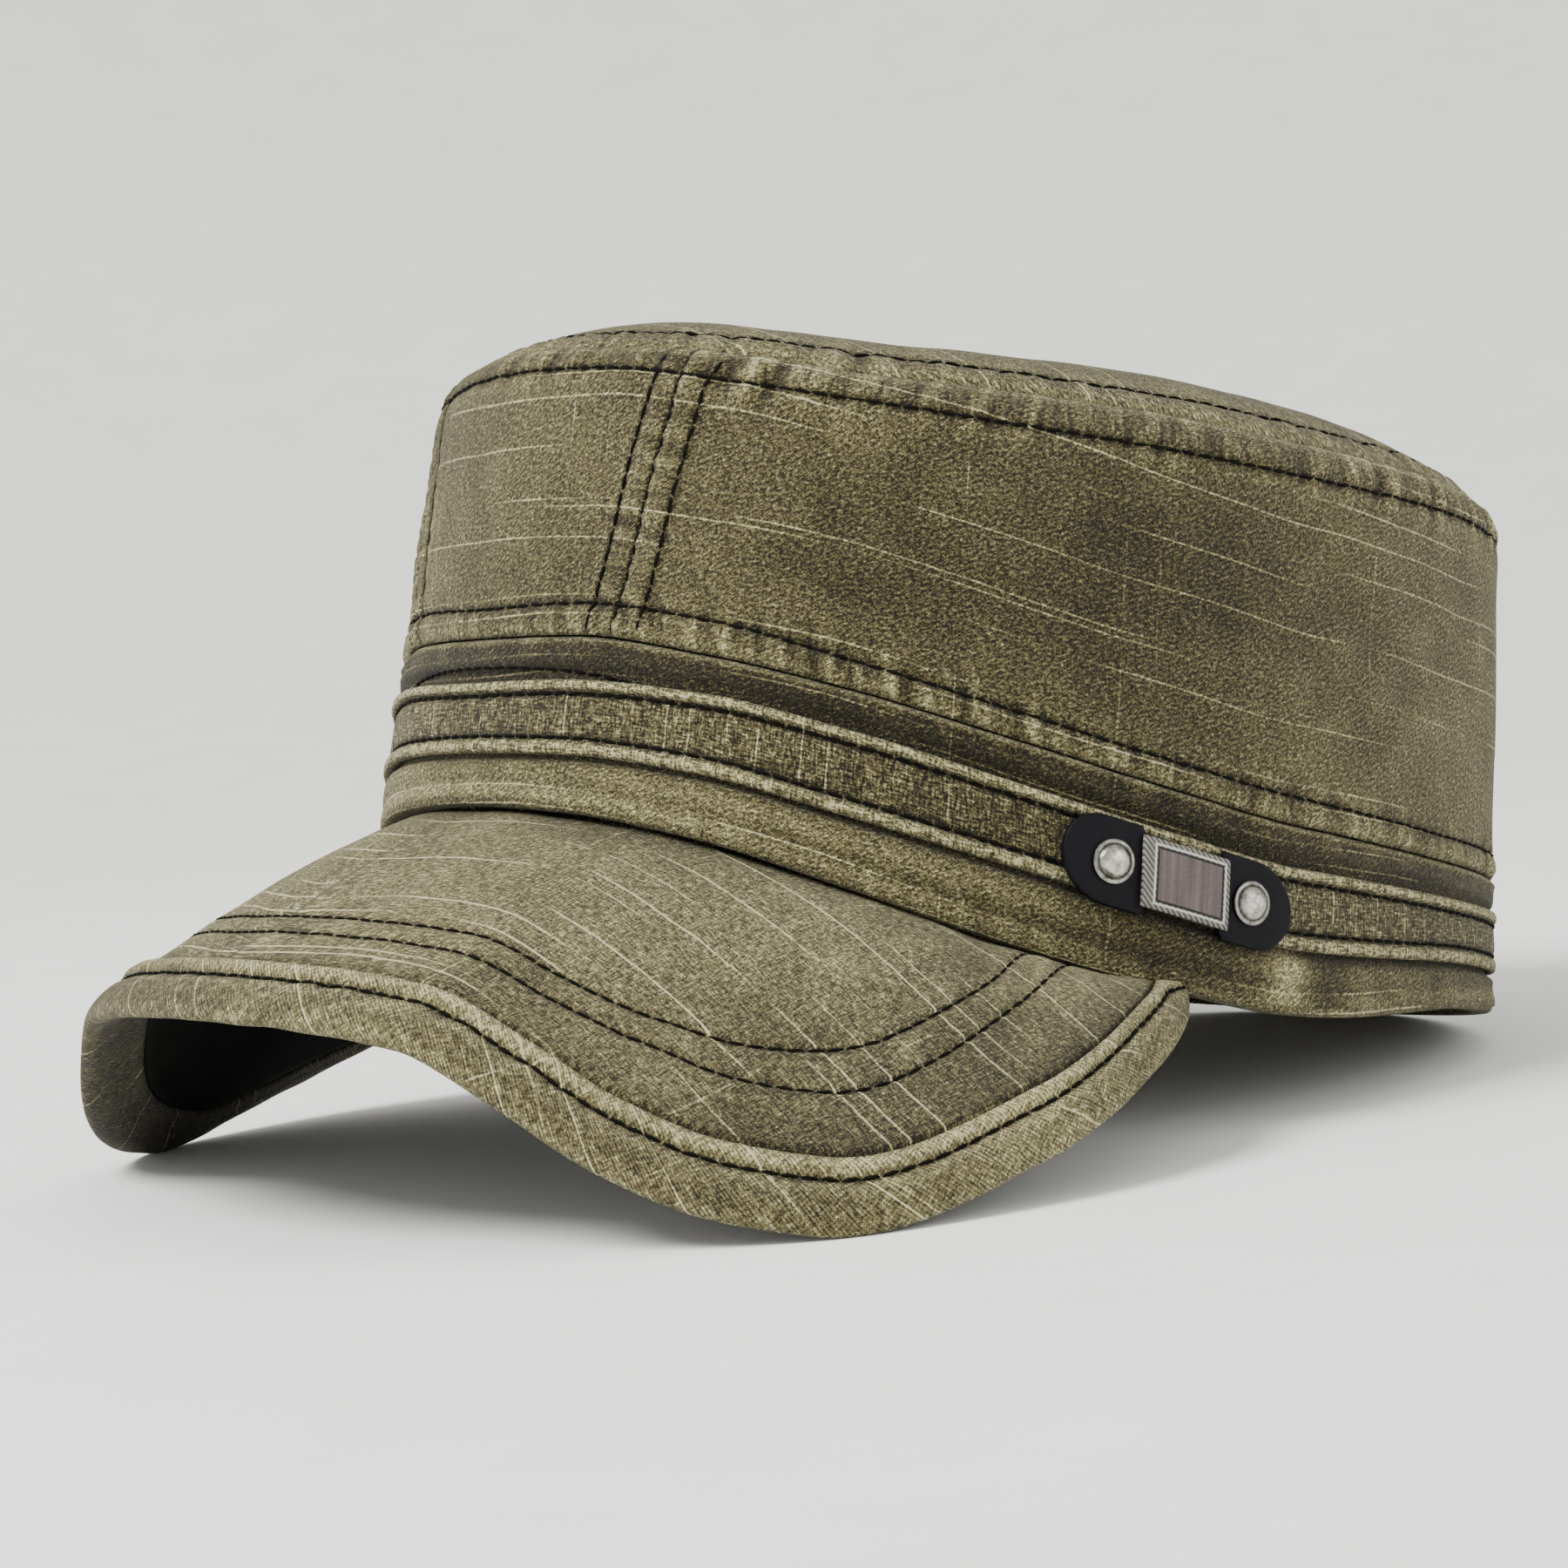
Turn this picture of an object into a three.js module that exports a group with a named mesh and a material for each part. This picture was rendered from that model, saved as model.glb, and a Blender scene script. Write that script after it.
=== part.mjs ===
// Flat-topped army cap in washed cotton: a low drum of cloth with a curved peak,
// a folded hat band and a small riveted leather strap on the wearer's left side.
//
// Millimetres, +Z up, -Y toward the peak, +X toward the wearer's left. The cap is
// drawn level, with the foot of its headband at height 0, and the whole group is then
// tipped back until it rests on both low sides of the peak and on its rear edge.
//
// Angles run round the cap: 0 at the middle of the forehead, 90 at the wearer's left
// side and 180 at the middle of the nape.

import * as THREE from 'three';

// Crown and headband

const head_length = 206; // outside, front to back at the foot
const head_width = 176; // outside, side to side at the foot
const crown_height = 92; // foot to rim seam at the rear
const crown_taper = 4.3; // radius that the wall loses over the crown's height
const forward_lean = 0.3; // how far the crown leans over the peak at its rim
const cloth = 1.6; // crown cloth with its felled seams
const gap = 0.3; // clearance between neighbouring pieces
const shoulder_depth = 10; // height of the rounded shoulder below the rim seam
const shoulder_inset = 3.2; // how far the rim seam lies inside the wall
const rim_slant = 0.96; // slant of the rim seam's joint under the surface, radians
const top_dome = 11; // rise of the top panel over its rim
const dome_power = 7; // how flat the top is in its middle
const front_seam_low = 29; // half width of the front panel at its lower seam
const front_seam_high = 37; // half width of the front panel at the rim

// Bands

const headband_thickness = 2.2;
const headband_puff = 0.5; // how far the headband's foot bulges
const band_thickness = 1.2; // hat band, two layers of thin cloth
const band_recess = 1.0; // how deep the headband lies behind the hat band
const band_edge = 2.0; // width of the hat band's folded ridges
const ridge_rise = 0.8; // height of those ridges over the hat band
const foot_roll = 2.4; // radius of the headband's rolled lower edge

// Peak

const peak_reach = 50; // root to edge in plan at the middle of the peak
const peak_drop = 50; // height that the peak's sides fall below its root
const peak_end_angle = 79; // where the peak's ends meet the headband
const peak_crown = 2.5; // bow of the peak, highest a third of the way out
const peak_side_swell = 5.5; // extra bow toward its sides
const board_half = 2.2; // half of the peak's thickness
const layer_gap = 0.5; // between the peak's upper and lower layers
const binding_width = 11.7;
const binding_half = 2.5; // half of the binding's thickness
const binding_ridge = 0.8; // height of the ridge along the binding's inner edge

// Strap with its label and rivets

const strap_length = 41;
const strap_width = 13.8;
const strap_thickness = 1.8;
const strap_angle = 76; // where its middle sits round the cap
const strap_drop = 1.3; // how far its middle sits below the hat band's middle
const label_length = 15.2;
const label_width = 11;
const label_thickness = 0.8;
const rivet_spacing = 24.6;
const rivet_radius = 3.5;
const rivet_height = 1.5;

// Levels round the cap, as shares of crown_height. rim is the seam of the top panel,
// seam the one under the tall crown panels, band_top and band_low the hat band's
// edges and foot the headband's lower edge.

const levels = [
  { angle: 0, rim: 1.059, seam: 0.542, band_top: 0.453, band_low: 0.351, foot: 0.250 },
  { angle: 15, rim: 1.053, seam: 0.544, band_top: 0.457, band_low: 0.349, foot: 0.241 },
  { angle: 30, rim: 1.038, seam: 0.517, band_top: 0.441, band_low: 0.327, foot: 0.208 },
  { angle: 45, rim: 1.013, seam: 0.472, band_top: 0.394, band_low: 0.273, foot: 0.145 },
  { angle: 60, rim: 1.006, seam: 0.415, band_top: 0.333, band_low: 0.214, foot: 0.076 },
  { angle: 75, rim: 1.002, seam: 0.362, band_top: 0.277, band_low: 0.162, foot: 0.025 },
  { angle: 90, rim: 0.996, seam: 0.325, band_top: 0.241, band_low: 0.122, foot: 0.000 },
  { angle: 120, rim: 1.004, seam: 0.307, band_top: 0.233, band_low: 0.142, foot: 0.050 },
  { angle: 150, rim: 1.005, seam: 0.306, band_top: 0.233, band_low: 0.145, foot: 0.058 },
  { angle: 180, rim: 1.006, seam: 0.306, band_top: 0.233, band_low: 0.146, foot: 0.058 },
];

// Shape of the peak: reach is the distance from root to edge in plan, a share of
// peak_reach, and drop the fall from root to edge, a share of peak_drop.

const peak_rows = [
  { angle: 0, reach: 0.97, drop: 0.69 },
  { angle: 10, reach: 0.96, drop: 0.69 },
  { angle: 19, reach: 0.94, drop: 0.71 },
  { angle: 26, reach: 0.93, drop: 0.82 },
  { angle: 33, reach: 0.93, drop: 0.95 },
  { angle: 39, reach: 0.92, drop: 0.995 },
  { angle: 46, reach: 0.90, drop: 0.965 },
  { angle: 60, reach: 0.70, drop: 0.58 },
  { angle: 71, reach: 0.42, drop: 0.19 },
  { angle: 76, reach: 0.28, drop: 0.08 },
  { angle: 80, reach: 0.12, drop: 0.02 },
];

// Wall section of the tall crown panels, from the lower seam up to the shoulder.
// up is a share of the panel's height below the shoulder, out an inward tuck in
// shares of the cloth's thickness.

const panel_rows = [
  { up: 0.00, out: -0.35 },
  { up: 0.05, out: 0.00 },
  { up: 0.30, out: 0.10 },
  { up: 0.55, out: 0.05 },
  { up: 0.80, out: 0.00 },
  { up: 1.00, out: 0.00 },
];

// Rounded shoulder above it: up is a share of shoulder_depth, inset of shoulder_inset.

const shoulder_rows = [
  { up: 0.40, inset: 0.12 },
  { up: 0.70, inset: 0.40 },
  { up: 0.88, inset: 0.70 },
  { up: 1.00, inset: 1.00 },
];

// Section of the binding: along is a share of binding_width from its inner edge to its
// nose, up a share of binding_half from the middle of the peak's thickness.

const binding_rows = [
  { along: 0.00, up: 0.84 },
  { along: 0.08, up: 0.98, ridge: 1 },
  { along: 0.24, up: 0.98, ridge: 1 },
  { along: 0.34, up: 0.90 },
  { along: 0.52, up: 1.00 },
  { along: 0.76, up: 0.86 },
  { along: 0.94, up: 0.44 },
  { along: 1.00, up: -0.06 },
  { along: 0.93, up: -0.56 },
  { along: 0.74, up: -0.92 },
  { along: 0.50, up: -1.00 },
  { along: 0.34, up: -0.96 },
  { along: 0.16, up: -0.92 },
  { along: 0.00, up: -0.84 },
];

const ring_steps = 64; // facets round the cap
const peak_steps = 46; // facets along the peak
const layer_steps = 6; // facets across the peak's layers
const top_rings = 6;
const front_steps = 12; // facets across the front panel
const side_steps = 26; // facets along a side panel

const rad = (degrees) => degrees * Math.PI / 180;

// Smooth curve through one column of a table, level at its first and last row.
function column(rows, key, name) {
  const slopes = rows.map((row, i) => {
    if (i === 0 || i === rows.length - 1) return 0;
    const before = (row[name] - rows[i - 1][name]) / (row[key] - rows[i - 1][key]);
    const after = (rows[i + 1][name] - row[name]) / (rows[i + 1][key] - row[key]);
    return before * after <= 0 ? 0 : 2 * before * after / (before + after);
  });
  return (value) => {
    const x = Math.min(Math.max(Math.abs(value), rows[0][key]), rows[rows.length - 1][key]);
    let i = 0;
    while (i < rows.length - 2 && x > rows[i + 1][key]) i += 1;
    const width = rows[i + 1][key] - rows[i][key];
    const t = (x - rows[i][key]) / width;
    const [p, q] = [rows[i][name], rows[i + 1][name]];
    return p * (1 + 2 * t) * (1 - t) ** 2 + q * t * t * (3 - 2 * t)
      + width * t * (1 - t) * (slopes[i] * (1 - t) - slopes[i + 1] * t);
  };
}

const level = {};
for (const name of ['rim', 'seam', 'band_top', 'band_low', 'foot']) {
  const share = column(levels, 'angle', name);
  level[name] = (angle) => share(angle) * crown_height;
}

// Point of the wall at an angle and a height, moved outwards by out.
function wall(angle, height, out) {
  const t = height / crown_height;
  const half_length = head_length / 2 - crown_taper * t + out;
  const half_width = head_width / 2 - crown_taper * t + out;
  return new THREE.Vector3(
    half_width * Math.sin(rad(angle)),
    -forward_lean * t - half_length * Math.cos(rad(angle)),
    height,
  );
}

// Body from a list of sections, each a closed loop of as many points. The list is
// itself a closed ring, or its first and last sections are capped. A section's first
// half runs along its outer face and its second half back along its inner one.
function loft(sections, closed) {
  const count = sections[0].length;
  const points = sections.flat();
  const faces = [];
  const spans = closed ? sections.length : sections.length - 1;
  for (let s = 0; s < spans; s += 1) {
    const here = s * count;
    const next = ((s + 1) % sections.length) * count;
    for (let i = 0; i < count; i += 1) {
      const j = (i + 1) % count;
      faces.push([here + i, next + i, next + j], [here + i, next + j, here + j]);
    }
  }
  if (!closed) {
    const last = (sections.length - 1) * count;
    for (let i = 0; i < count / 2 - 1; i += 1) {
      const j = count - 1 - i;
      faces.push([i, i + 1, j - 1], [i, j - 1, j]);
      faces.push([last + i, last + j - 1, last + i + 1], [last + i, last + j, last + j - 1]);
    }
  }
  return body(points, faces);
}

// Indexed geometry whose faces point outwards.
function body(points, faces) {
  const volume = faces.reduce((sum, [a, b, c]) => {
    const cross = new THREE.Vector3().crossVectors(points[b], points[c]);
    return sum + points[a].dot(cross);
  }, 0);
  const order = volume > 0 ? ([a, b, c]) => [a, b, c] : ([a, b, c]) => [a, c, b];
  const geometry = new THREE.BufferGeometry();
  const flat = points.flatMap((point) => [point.x, point.y, point.z]);
  geometry.setAttribute('position', new THREE.Float32BufferAttribute(flat, 3));
  geometry.setIndex(faces.flatMap(order));
  geometry.computeVertexNormals();
  return geometry;
}

// Angles in even steps from first to last.
const steps = (first, last, count) => Array.from(
  { length: count + 1 },
  (_, i) => first + (last - first) * i / count,
);
const around = steps(0, 360, ring_steps).slice(0, ring_steps).map((a) => (a > 180 ? a - 360 : a));

// Section of a wall at one angle: an outer face from points { out, z }, listed upwards,
// and an inner face behind it.
const section = (angle, outer, inner) => [
  ...outer.map((p) => wall(angle, p.z, p.out)),
  ...inner.slice().reverse().map((p) => wall(angle, p.z, p.out)),
];

// Crown

// Outer and inner faces of the tall panels: rows up the wall, then over the shoulder.
function panel_faces(angle) {
  const low = level.seam(angle) + gap / 2;
  const shoulder = level.rim(angle) - shoulder_depth;
  const outer = panel_rows.map((row) => ({
    z: low + (shoulder - low) * row.up,
    out: cloth * row.out,
  }));
  shoulder_rows.forEach((row) => outer.push({
    z: shoulder + shoulder_depth * row.up,
    out: -shoulder_inset * row.inset,
  }));
  const inner = outer.map((p, i) => {
    const before = outer[Math.max(i - 1, 0)];
    const after = outer[Math.min(i + 1, outer.length - 1)];
    const length = Math.hypot(after.z - before.z, after.out - before.out);
    if (i === 0) return { z: p.z, out: p.out - cloth };
    return {
      z: p.z + cloth * (after.out - before.out) / length,
      out: p.out - cloth * (after.z - before.z) / length,
    };
  });
  inner[inner.length - 1] = rim_corner(outer[outer.length - 1]);
  return { outer, inner };
}

// Inner corner of the seam between the panels and the top, behind an outer corner.
function rim_corner(corner) {
  return { z: corner.z - cloth * Math.sin(rim_slant), out: corner.out - cloth * Math.cos(rim_slant) };
}

// Angle of the front seam at a share of the panels' height, turned by a shift in mm.
function front_seam(share, shift) {
  const half = front_seam_low + (front_seam_high - front_seam_low) * share + shift;
  return Math.asin(half / (head_width / 2)) * 180 / Math.PI;
}

// Panel between two side edges, each a function of the share of the height.
function panel(first, last, count) {
  const middle = panel_faces((first(0.5) + last(0.5)) / 2).outer;
  const height = middle[middle.length - 1].z - middle[0].z;
  const shares = middle.map((p) => (p.z - middle[0].z) / height);
  const sections = steps(0, 1, count).map((along) => {
    const angles = shares.map((share) => first(share) + (last(share) - first(share)) * along);
    const rows = angles.map((angle, i) => {
      const faces = panel_faces(angle);
      return {
        outer: wall(angle, faces.outer[i].z, faces.outer[i].out),
        inner: wall(angle, faces.inner[i].z, faces.inner[i].out),
      };
    });
    return [...rows.map((row) => row.outer), ...rows.reverse().map((row) => row.inner)];
  });
  return loft(sections, false);
}

// Domed top panel: rings of points out to the rim seam, above and below the cloth.
function top_panel() {
  const centre_height = (level.rim(0) + level.rim(90) * 2 + level.rim(180)) / 4;
  const ring = (share, under) => around.map((angle) => {
    const rim = { z: level.rim(angle), out: -shoulder_inset - gap / Math.sin(rim_slant) };
    const edge = under ? rim_corner(rim) : rim;
    const at = wall(angle, edge.z, edge.out);
    const lift = top_dome * (1 - share ** dome_power);
    const rest = (centre_height - (rim.z - edge.z)) * (1 - share ** 2);
    const level_here = edge.z * share ** 2 + rest;
    const thin = under ? (cloth - (rim.z - edge.z)) * (1 - share ** dome_power) : 0;
    return new THREE.Vector3(at.x * share, at.y * share, level_here + lift - thin);
  });
  const shares = steps(0, 1, top_rings).slice(1).map((share) => share ** 0.6);
  const points = [];
  const faces = [];
  [false, true].forEach((under) => {
    const centre = points.length;
    const lower = under ? cloth : 0;
    points.push(new THREE.Vector3(0, -forward_lean, centre_height + top_dome - lower));
    shares.forEach((share) => points.push(...ring(share, under)));
    for (let i = 0; i < ring_steps; i += 1) {
      const j = (i + 1) % ring_steps;
      const flip = (face) => (under ? [face[0], face[2], face[1]] : face);
      faces.push(flip([centre, centre + 1 + i, centre + 1 + j]));
      for (let r = 0; r < top_rings - 1; r += 1) {
        const a = centre + 1 + r * ring_steps;
        const b = a + ring_steps;
        faces.push(flip([a + i, b + i, b + j]), flip([a + i, b + j, a + j]));
      }
    }
  });
  const upper = 1 + (top_rings - 1) * ring_steps;
  const lower = upper + 1 + top_rings * ring_steps;
  for (let i = 0; i < ring_steps; i += 1) {
    const j = (i + 1) % ring_steps;
    faces.push([upper + i, lower + i, lower + j], [upper + i, lower + j, upper + j]);
  }
  return body(points, faces);
}

// Low strip under the tall panels: its lower edge tucks in behind the hat band.
function crown_strip() {
  return loft(around.map((angle) => {
    const top = level.seam(angle) - gap / 2;
    const band = level.band_top(angle) + band_edge / 2;
    const low = level.band_top(angle) - band_edge / 2;
    const outer = [
      { z: low, out: -band_recess },
      { z: band + gap, out: -band_recess },
      { z: band + band_edge, out: -band_recess / 3 },
      { z: top - cloth, out: 0 },
      { z: top, out: -cloth / 3 },
    ];
    const inner = [
      { z: low, out: -band_recess - cloth },
      { z: top, out: -cloth - cloth / 3 },
    ];
    return section(angle, outer, inner);
  }), true);
}

// Hat band: a folded strip whose edges are stitched down into raised ridges.
function hat_band() {
  const back = -band_recess + gap;
  const face = back + band_thickness;
  const ridge = face + ridge_rise;
  return loft(around.map((angle) => {
    const low = level.band_low(angle) - band_edge / 2;
    const top = level.band_top(angle) + band_edge / 2;
    const outer = [
      { z: low, out: face - ridge_rise / 2 },
      { z: low + band_edge * 0.25, out: ridge },
      { z: low + band_edge * 0.75, out: ridge },
      { z: low + band_edge, out: face },
      { z: top - band_edge, out: face },
      { z: top - band_edge * 0.75, out: ridge },
      { z: top - band_edge * 0.25, out: ridge },
      { z: top, out: face - ridge_rise / 2 },
    ];
    return section(angle, outer, [{ z: low, out: back }, { z: top, out: back }]);
  }), true);
}

// Headband: it backs the hat band, and below it the cloth puffs out and rolls under.
function head_band() {
  const back = -band_recess - headband_thickness;
  return loft(around.map((angle) => {
    const foot = level.foot(angle);
    const band = level.band_low(angle) - band_edge / 2;
    const top = level.band_top(angle) - band_edge / 2 - gap;
    const outer = [
      { z: foot, out: headband_puff - foot_roll / 2 },
      { z: foot + foot_roll * 0.2, out: headband_puff - foot_roll / 5 },
      { z: foot + foot_roll, out: headband_puff },
      { z: band - band_edge * 1.2, out: headband_puff },
      { z: band - gap, out: -band_recess },
      { z: top, out: -band_recess },
    ];
    return section(angle, outer, [{ z: foot, out: back }, { z: top, out: back }]);
  }), true);
}

// Peak

const reach = column(peak_rows, 'angle', 'reach');
const drop = column(peak_rows, 'angle', 'drop');

// Point on the middle of the peak's thickness: across is 0 at its root under the
// headband and 1 at its edge.
function peak_point(angle, across) {
  const root_out = -band_recess - headband_thickness;
  const root = wall(angle, level.foot(angle) - gap - board_half, root_out);
  const plan = new THREE.Vector2(
    Math.sin(rad(angle)) / head_width,
    -Math.cos(rad(angle)) / head_length,
  ).normalize();
  const distance = reach(angle) * peak_reach - root_out;
  const fall = drop(angle) * peak_drop;
  const swell = peak_side_swell * Math.sin(rad(angle)) ** 2 + peak_crown;
  const bow = swell * drop(angle) * 27 / 4 * across * (1 - across) ** 2;
  return new THREE.Vector3(
    root.x + plan.x * distance * across,
    root.y + plan.y * distance * across,
    root.z - fall * across + bow,
  );
}

// The same point moved square to the peak's surface, up where above is positive.
function peak_skin(angle, across, above) {
  const small = 0.01;
  const along = peak_point(angle + small, across).sub(peak_point(angle - small, across));
  const outward = peak_point(angle, across + small).sub(peak_point(angle, across - small));
  const normal = new THREE.Vector3().crossVectors(along, outward).normalize();
  if (normal.z < 0) normal.negate();
  return peak_point(angle, across).addScaledVector(normal, above);
}

// Share of the way across at which the binding begins.
function binding_start(angle) {
  const length = peak_point(angle, 0).distanceTo(peak_point(angle, 1));
  return 1 - Math.min(binding_width, length * 0.75) / length;
}

const peak_angles = steps(-peak_end_angle, peak_end_angle, peak_steps);

// Flat layer of the peak between two heights over its middle.
function peak_layer(high, low) {
  return loft(peak_angles.map((angle) => {
    const length = peak_point(angle, 0).distanceTo(peak_point(angle, 1));
    const end = binding_start(angle) - gap / length;
    const stations = steps(0, end, layer_steps);
    return [
      ...stations.map((across) => peak_skin(angle, across, high)),
      ...stations.reverse().map((across) => peak_skin(angle, across, low)),
    ];
  }), false);
}

// Padded binding rolled round the peak's edge.
function peak_binding() {
  return loft(peak_angles.map((angle) => {
    const start = binding_start(angle);
    return binding_rows.map((row) => {
      const above = row.up * binding_half + (row.ridge ? binding_ridge : 0);
      return peak_skin(angle, start + (1 - start) * row.along, above);
    });
  }), false);
}

// Strap, label and rivets

const ridge_out = -band_recess + gap + band_thickness + ridge_rise;
const band_middle = (angle) => (level.band_top(angle) + level.band_low(angle)) / 2 - strap_drop;
const arc_degree = head_length / 2 * rad(1); // length of one degree at the side

// Point over the hat band, along and across from the strap's middle, out from the wall.
function strap_point(along, across, out) {
  const angle = strap_angle + along / arc_degree;
  return wall(angle, band_middle(angle) + across, out);
}

// Strip bent along the band: half_width is a function of the distance along it.
function bent_strip(stations, half_width, low, high) {
  return loft(stations.map((along) => {
    const half = half_width(along);
    return [
      strap_point(along, -half, high),
      strap_point(along, half, high),
      strap_point(along, half, low),
      strap_point(along, -half, low),
    ];
  }), false);
}

const strap_low = ridge_out + gap;
const strap_high = strap_low + strap_thickness;
const label_low = strap_high + gap;
const strap_end = strap_length / 2;
const strap_round = strap_width / 2;

function strap_half_width(along) {
  const past = Math.max(Math.abs(along) - (strap_end - strap_round), 0);
  return Math.sqrt(Math.max(strap_round ** 2 - past ** 2, 0));
}

const round_end = steps(8, 80, 6).map((a) => strap_end - strap_round * (1 - Math.cos(rad(a))));
const strap_stations = [
  ...round_end.map((along) => -along),
  ...steps(-strap_end + strap_round, strap_end - strap_round, 5),
  ...round_end.slice().reverse(),
];

// Domed rivet head, standing on its flat back.
function rivet_shape() {
  const rim = rivet_height * 0.25;
  const profile = [new THREE.Vector2(0, 0), new THREE.Vector2(rivet_radius, 0)];
  steps(0, 90, 4).forEach((a) => profile.push(new THREE.Vector2(
    rivet_radius * Math.cos(rad(a)),
    rim + (rivet_height - rim) * Math.sin(rad(a)),
  )));
  profile[profile.length - 1].x = 0;
  const shape = new THREE.LatheGeometry(profile, 16);
  shape.rotateX(Math.PI / 2);
  return shape;
}

// The cap

const cap = new THREE.Group();

const olive = { color: 0x6a6548, roughness: 0.95, metalness: 0 };
const looks = {
  cloth: olive,
  peak: { ...olive, color: 0x7d785c },
  under: { color: 0x0c0c0a, roughness: 0.9, metalness: 0 },
  leather: { color: 0x1b1b25, roughness: 0.55, metalness: 0 },
  metal: { color: 0xc8c6b9, roughness: 0.3, metalness: 1 },
  label: { color: 0x87797a, roughness: 0.85, metalness: 0 },
};

function add(name, geometry, look) {
  const mesh = new THREE.Mesh(geometry, new THREE.MeshStandardMaterial(looks[look]));
  mesh.name = name;
  cap.add(mesh);
  return mesh;
}

const left_edge = (share) => front_seam(share, gap / 2);
const front_edge = (share) => front_seam(share, -gap / 2);
const rear_edge = () => 180 - gap / 2 / arc_degree;

add('crown_top', top_panel(), 'cloth');
add('crown_front', panel((share) => -front_edge(share), front_edge, front_steps), 'cloth');
add('crown_side_left', panel(left_edge, rear_edge, side_steps), 'cloth');
add('crown_side_right', panel(
  (share) => -rear_edge(share),
  (share) => -left_edge(share),
  side_steps,
), 'cloth');
add('lower_crown_strip', crown_strip(), 'cloth');
add('hat_band', hat_band(), 'cloth');
add('head_band', head_band(), 'cloth');
add('peak_top', peak_layer(board_half, layer_gap / 2), 'peak');
add('peak_underside', peak_layer(-layer_gap / 2, -board_half), 'under');
add('peak_binding', peak_binding(), 'peak');
add('badge_strap', bent_strip(strap_stations, strap_half_width, strap_low, strap_high), 'leather');
add('side_label', bent_strip(
  steps(-label_length / 2, label_length / 2, 5),
  () => label_width / 2,
  label_low,
  label_low + label_thickness,
), 'label');

for (const [name, side] of [['rivet_front', -1], ['rivet_rear', 1]]) {
  const rivet = add(name, rivet_shape(), 'metal');
  const along = side * rivet_spacing / 2;
  const seat = strap_point(along, 0, label_low);
  const across = strap_point(along, 1, label_low).sub(strap_point(along, -1, label_low));
  const forward = strap_point(along + 1, 0, label_low).sub(strap_point(along - 1, 0, label_low));
  const outward = new THREE.Vector3().crossVectors(forward, across).normalize();
  rivet.position.copy(seat);
  rivet.quaternion.setFromUnitVectors(new THREE.Vector3(0, 0, 1), outward);
}

// Rest: seen from the side, the cap stands on the one edge of its lower hull that lies
// under its middle, from the low sides of the peak to the rear of the headband.
function rest_angle(group) {
  group.updateMatrixWorld(true);
  const side = [];
  group.traverse((mesh) => {
    if (!mesh.isMesh) return;
    const place = mesh.geometry.getAttribute('position');
    for (let i = 0; i < place.count; i += 1) {
      const point = new THREE.Vector3().fromBufferAttribute(place, i).applyMatrix4(mesh.matrixWorld);
      side.push([point.y, point.z]);
    }
  });
  side.sort((p, q) => p[0] - q[0]);
  const hull = [];
  for (const point of side) {
    while (hull.length > 1) {
      const [p, q] = hull.slice(-2);
      const turn = (q[0] - p[0]) * (point[1] - p[1]) - (q[1] - p[1]) * (point[0] - p[0]);
      if (turn > 0) break;
      hull.pop();
    }
    hull.push(point);
  }
  const after = hull.findIndex((point) => point[0] > 0);
  const [front, rear] = [hull[after - 1], hull[after]];
  return Math.atan2(rear[1] - front[1], rear[0] - front[0]);
}

cap.rotation.x = -rest_angle(cap);
cap.updateMatrixWorld(true);
const box = new THREE.Box3().setFromObject(cap, true);
cap.position.set(-(box.min.x + box.max.x) / 2, -(box.min.y + box.max.y) / 2, -box.min.z);

export default cap;
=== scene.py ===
# %% [markdown]
# # An army cap in washed cotton
#
# The cap is a low drum of olive cotton with a curved peak, a folded hat band and a
# small riveted leather strap. It is made here in Blender as its sewer makes it: one
# piece of cloth at a time, then the seams, then the threads. Every piece starts from
# a flat grid of small squares, and its points are moved in code to where the cloth
# lies, because the puckers of a washed seam are too fine to pull by hand.

# %% Load the frame
import functools
import math

import bpy
import numpy as np
from mathutils import Matrix, Vector


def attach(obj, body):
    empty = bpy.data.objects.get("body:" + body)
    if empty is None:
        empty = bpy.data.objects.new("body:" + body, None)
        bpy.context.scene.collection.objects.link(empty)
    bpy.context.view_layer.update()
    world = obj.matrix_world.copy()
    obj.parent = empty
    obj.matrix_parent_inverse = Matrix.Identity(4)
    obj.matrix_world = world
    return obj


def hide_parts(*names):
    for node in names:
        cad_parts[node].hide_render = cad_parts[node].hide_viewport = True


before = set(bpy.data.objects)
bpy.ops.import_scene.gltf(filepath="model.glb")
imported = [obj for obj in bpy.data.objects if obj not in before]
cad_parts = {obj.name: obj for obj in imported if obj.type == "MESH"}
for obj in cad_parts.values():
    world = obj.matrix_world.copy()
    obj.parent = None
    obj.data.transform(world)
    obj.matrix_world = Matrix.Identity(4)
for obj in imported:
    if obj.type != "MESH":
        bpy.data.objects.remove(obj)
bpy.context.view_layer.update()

# %% [markdown]
# ## Sizes
#
# All lengths are in millimetres in the cap's own upright frame: height 0 is the foot
# of the headband at the sides, minus Y is toward the peak and plus X is the wearer's
# left. Angles run round the cap from the middle of the forehead. The finished points
# are then tipped back to the pose in which the cap rests, and turned to metres.

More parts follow.
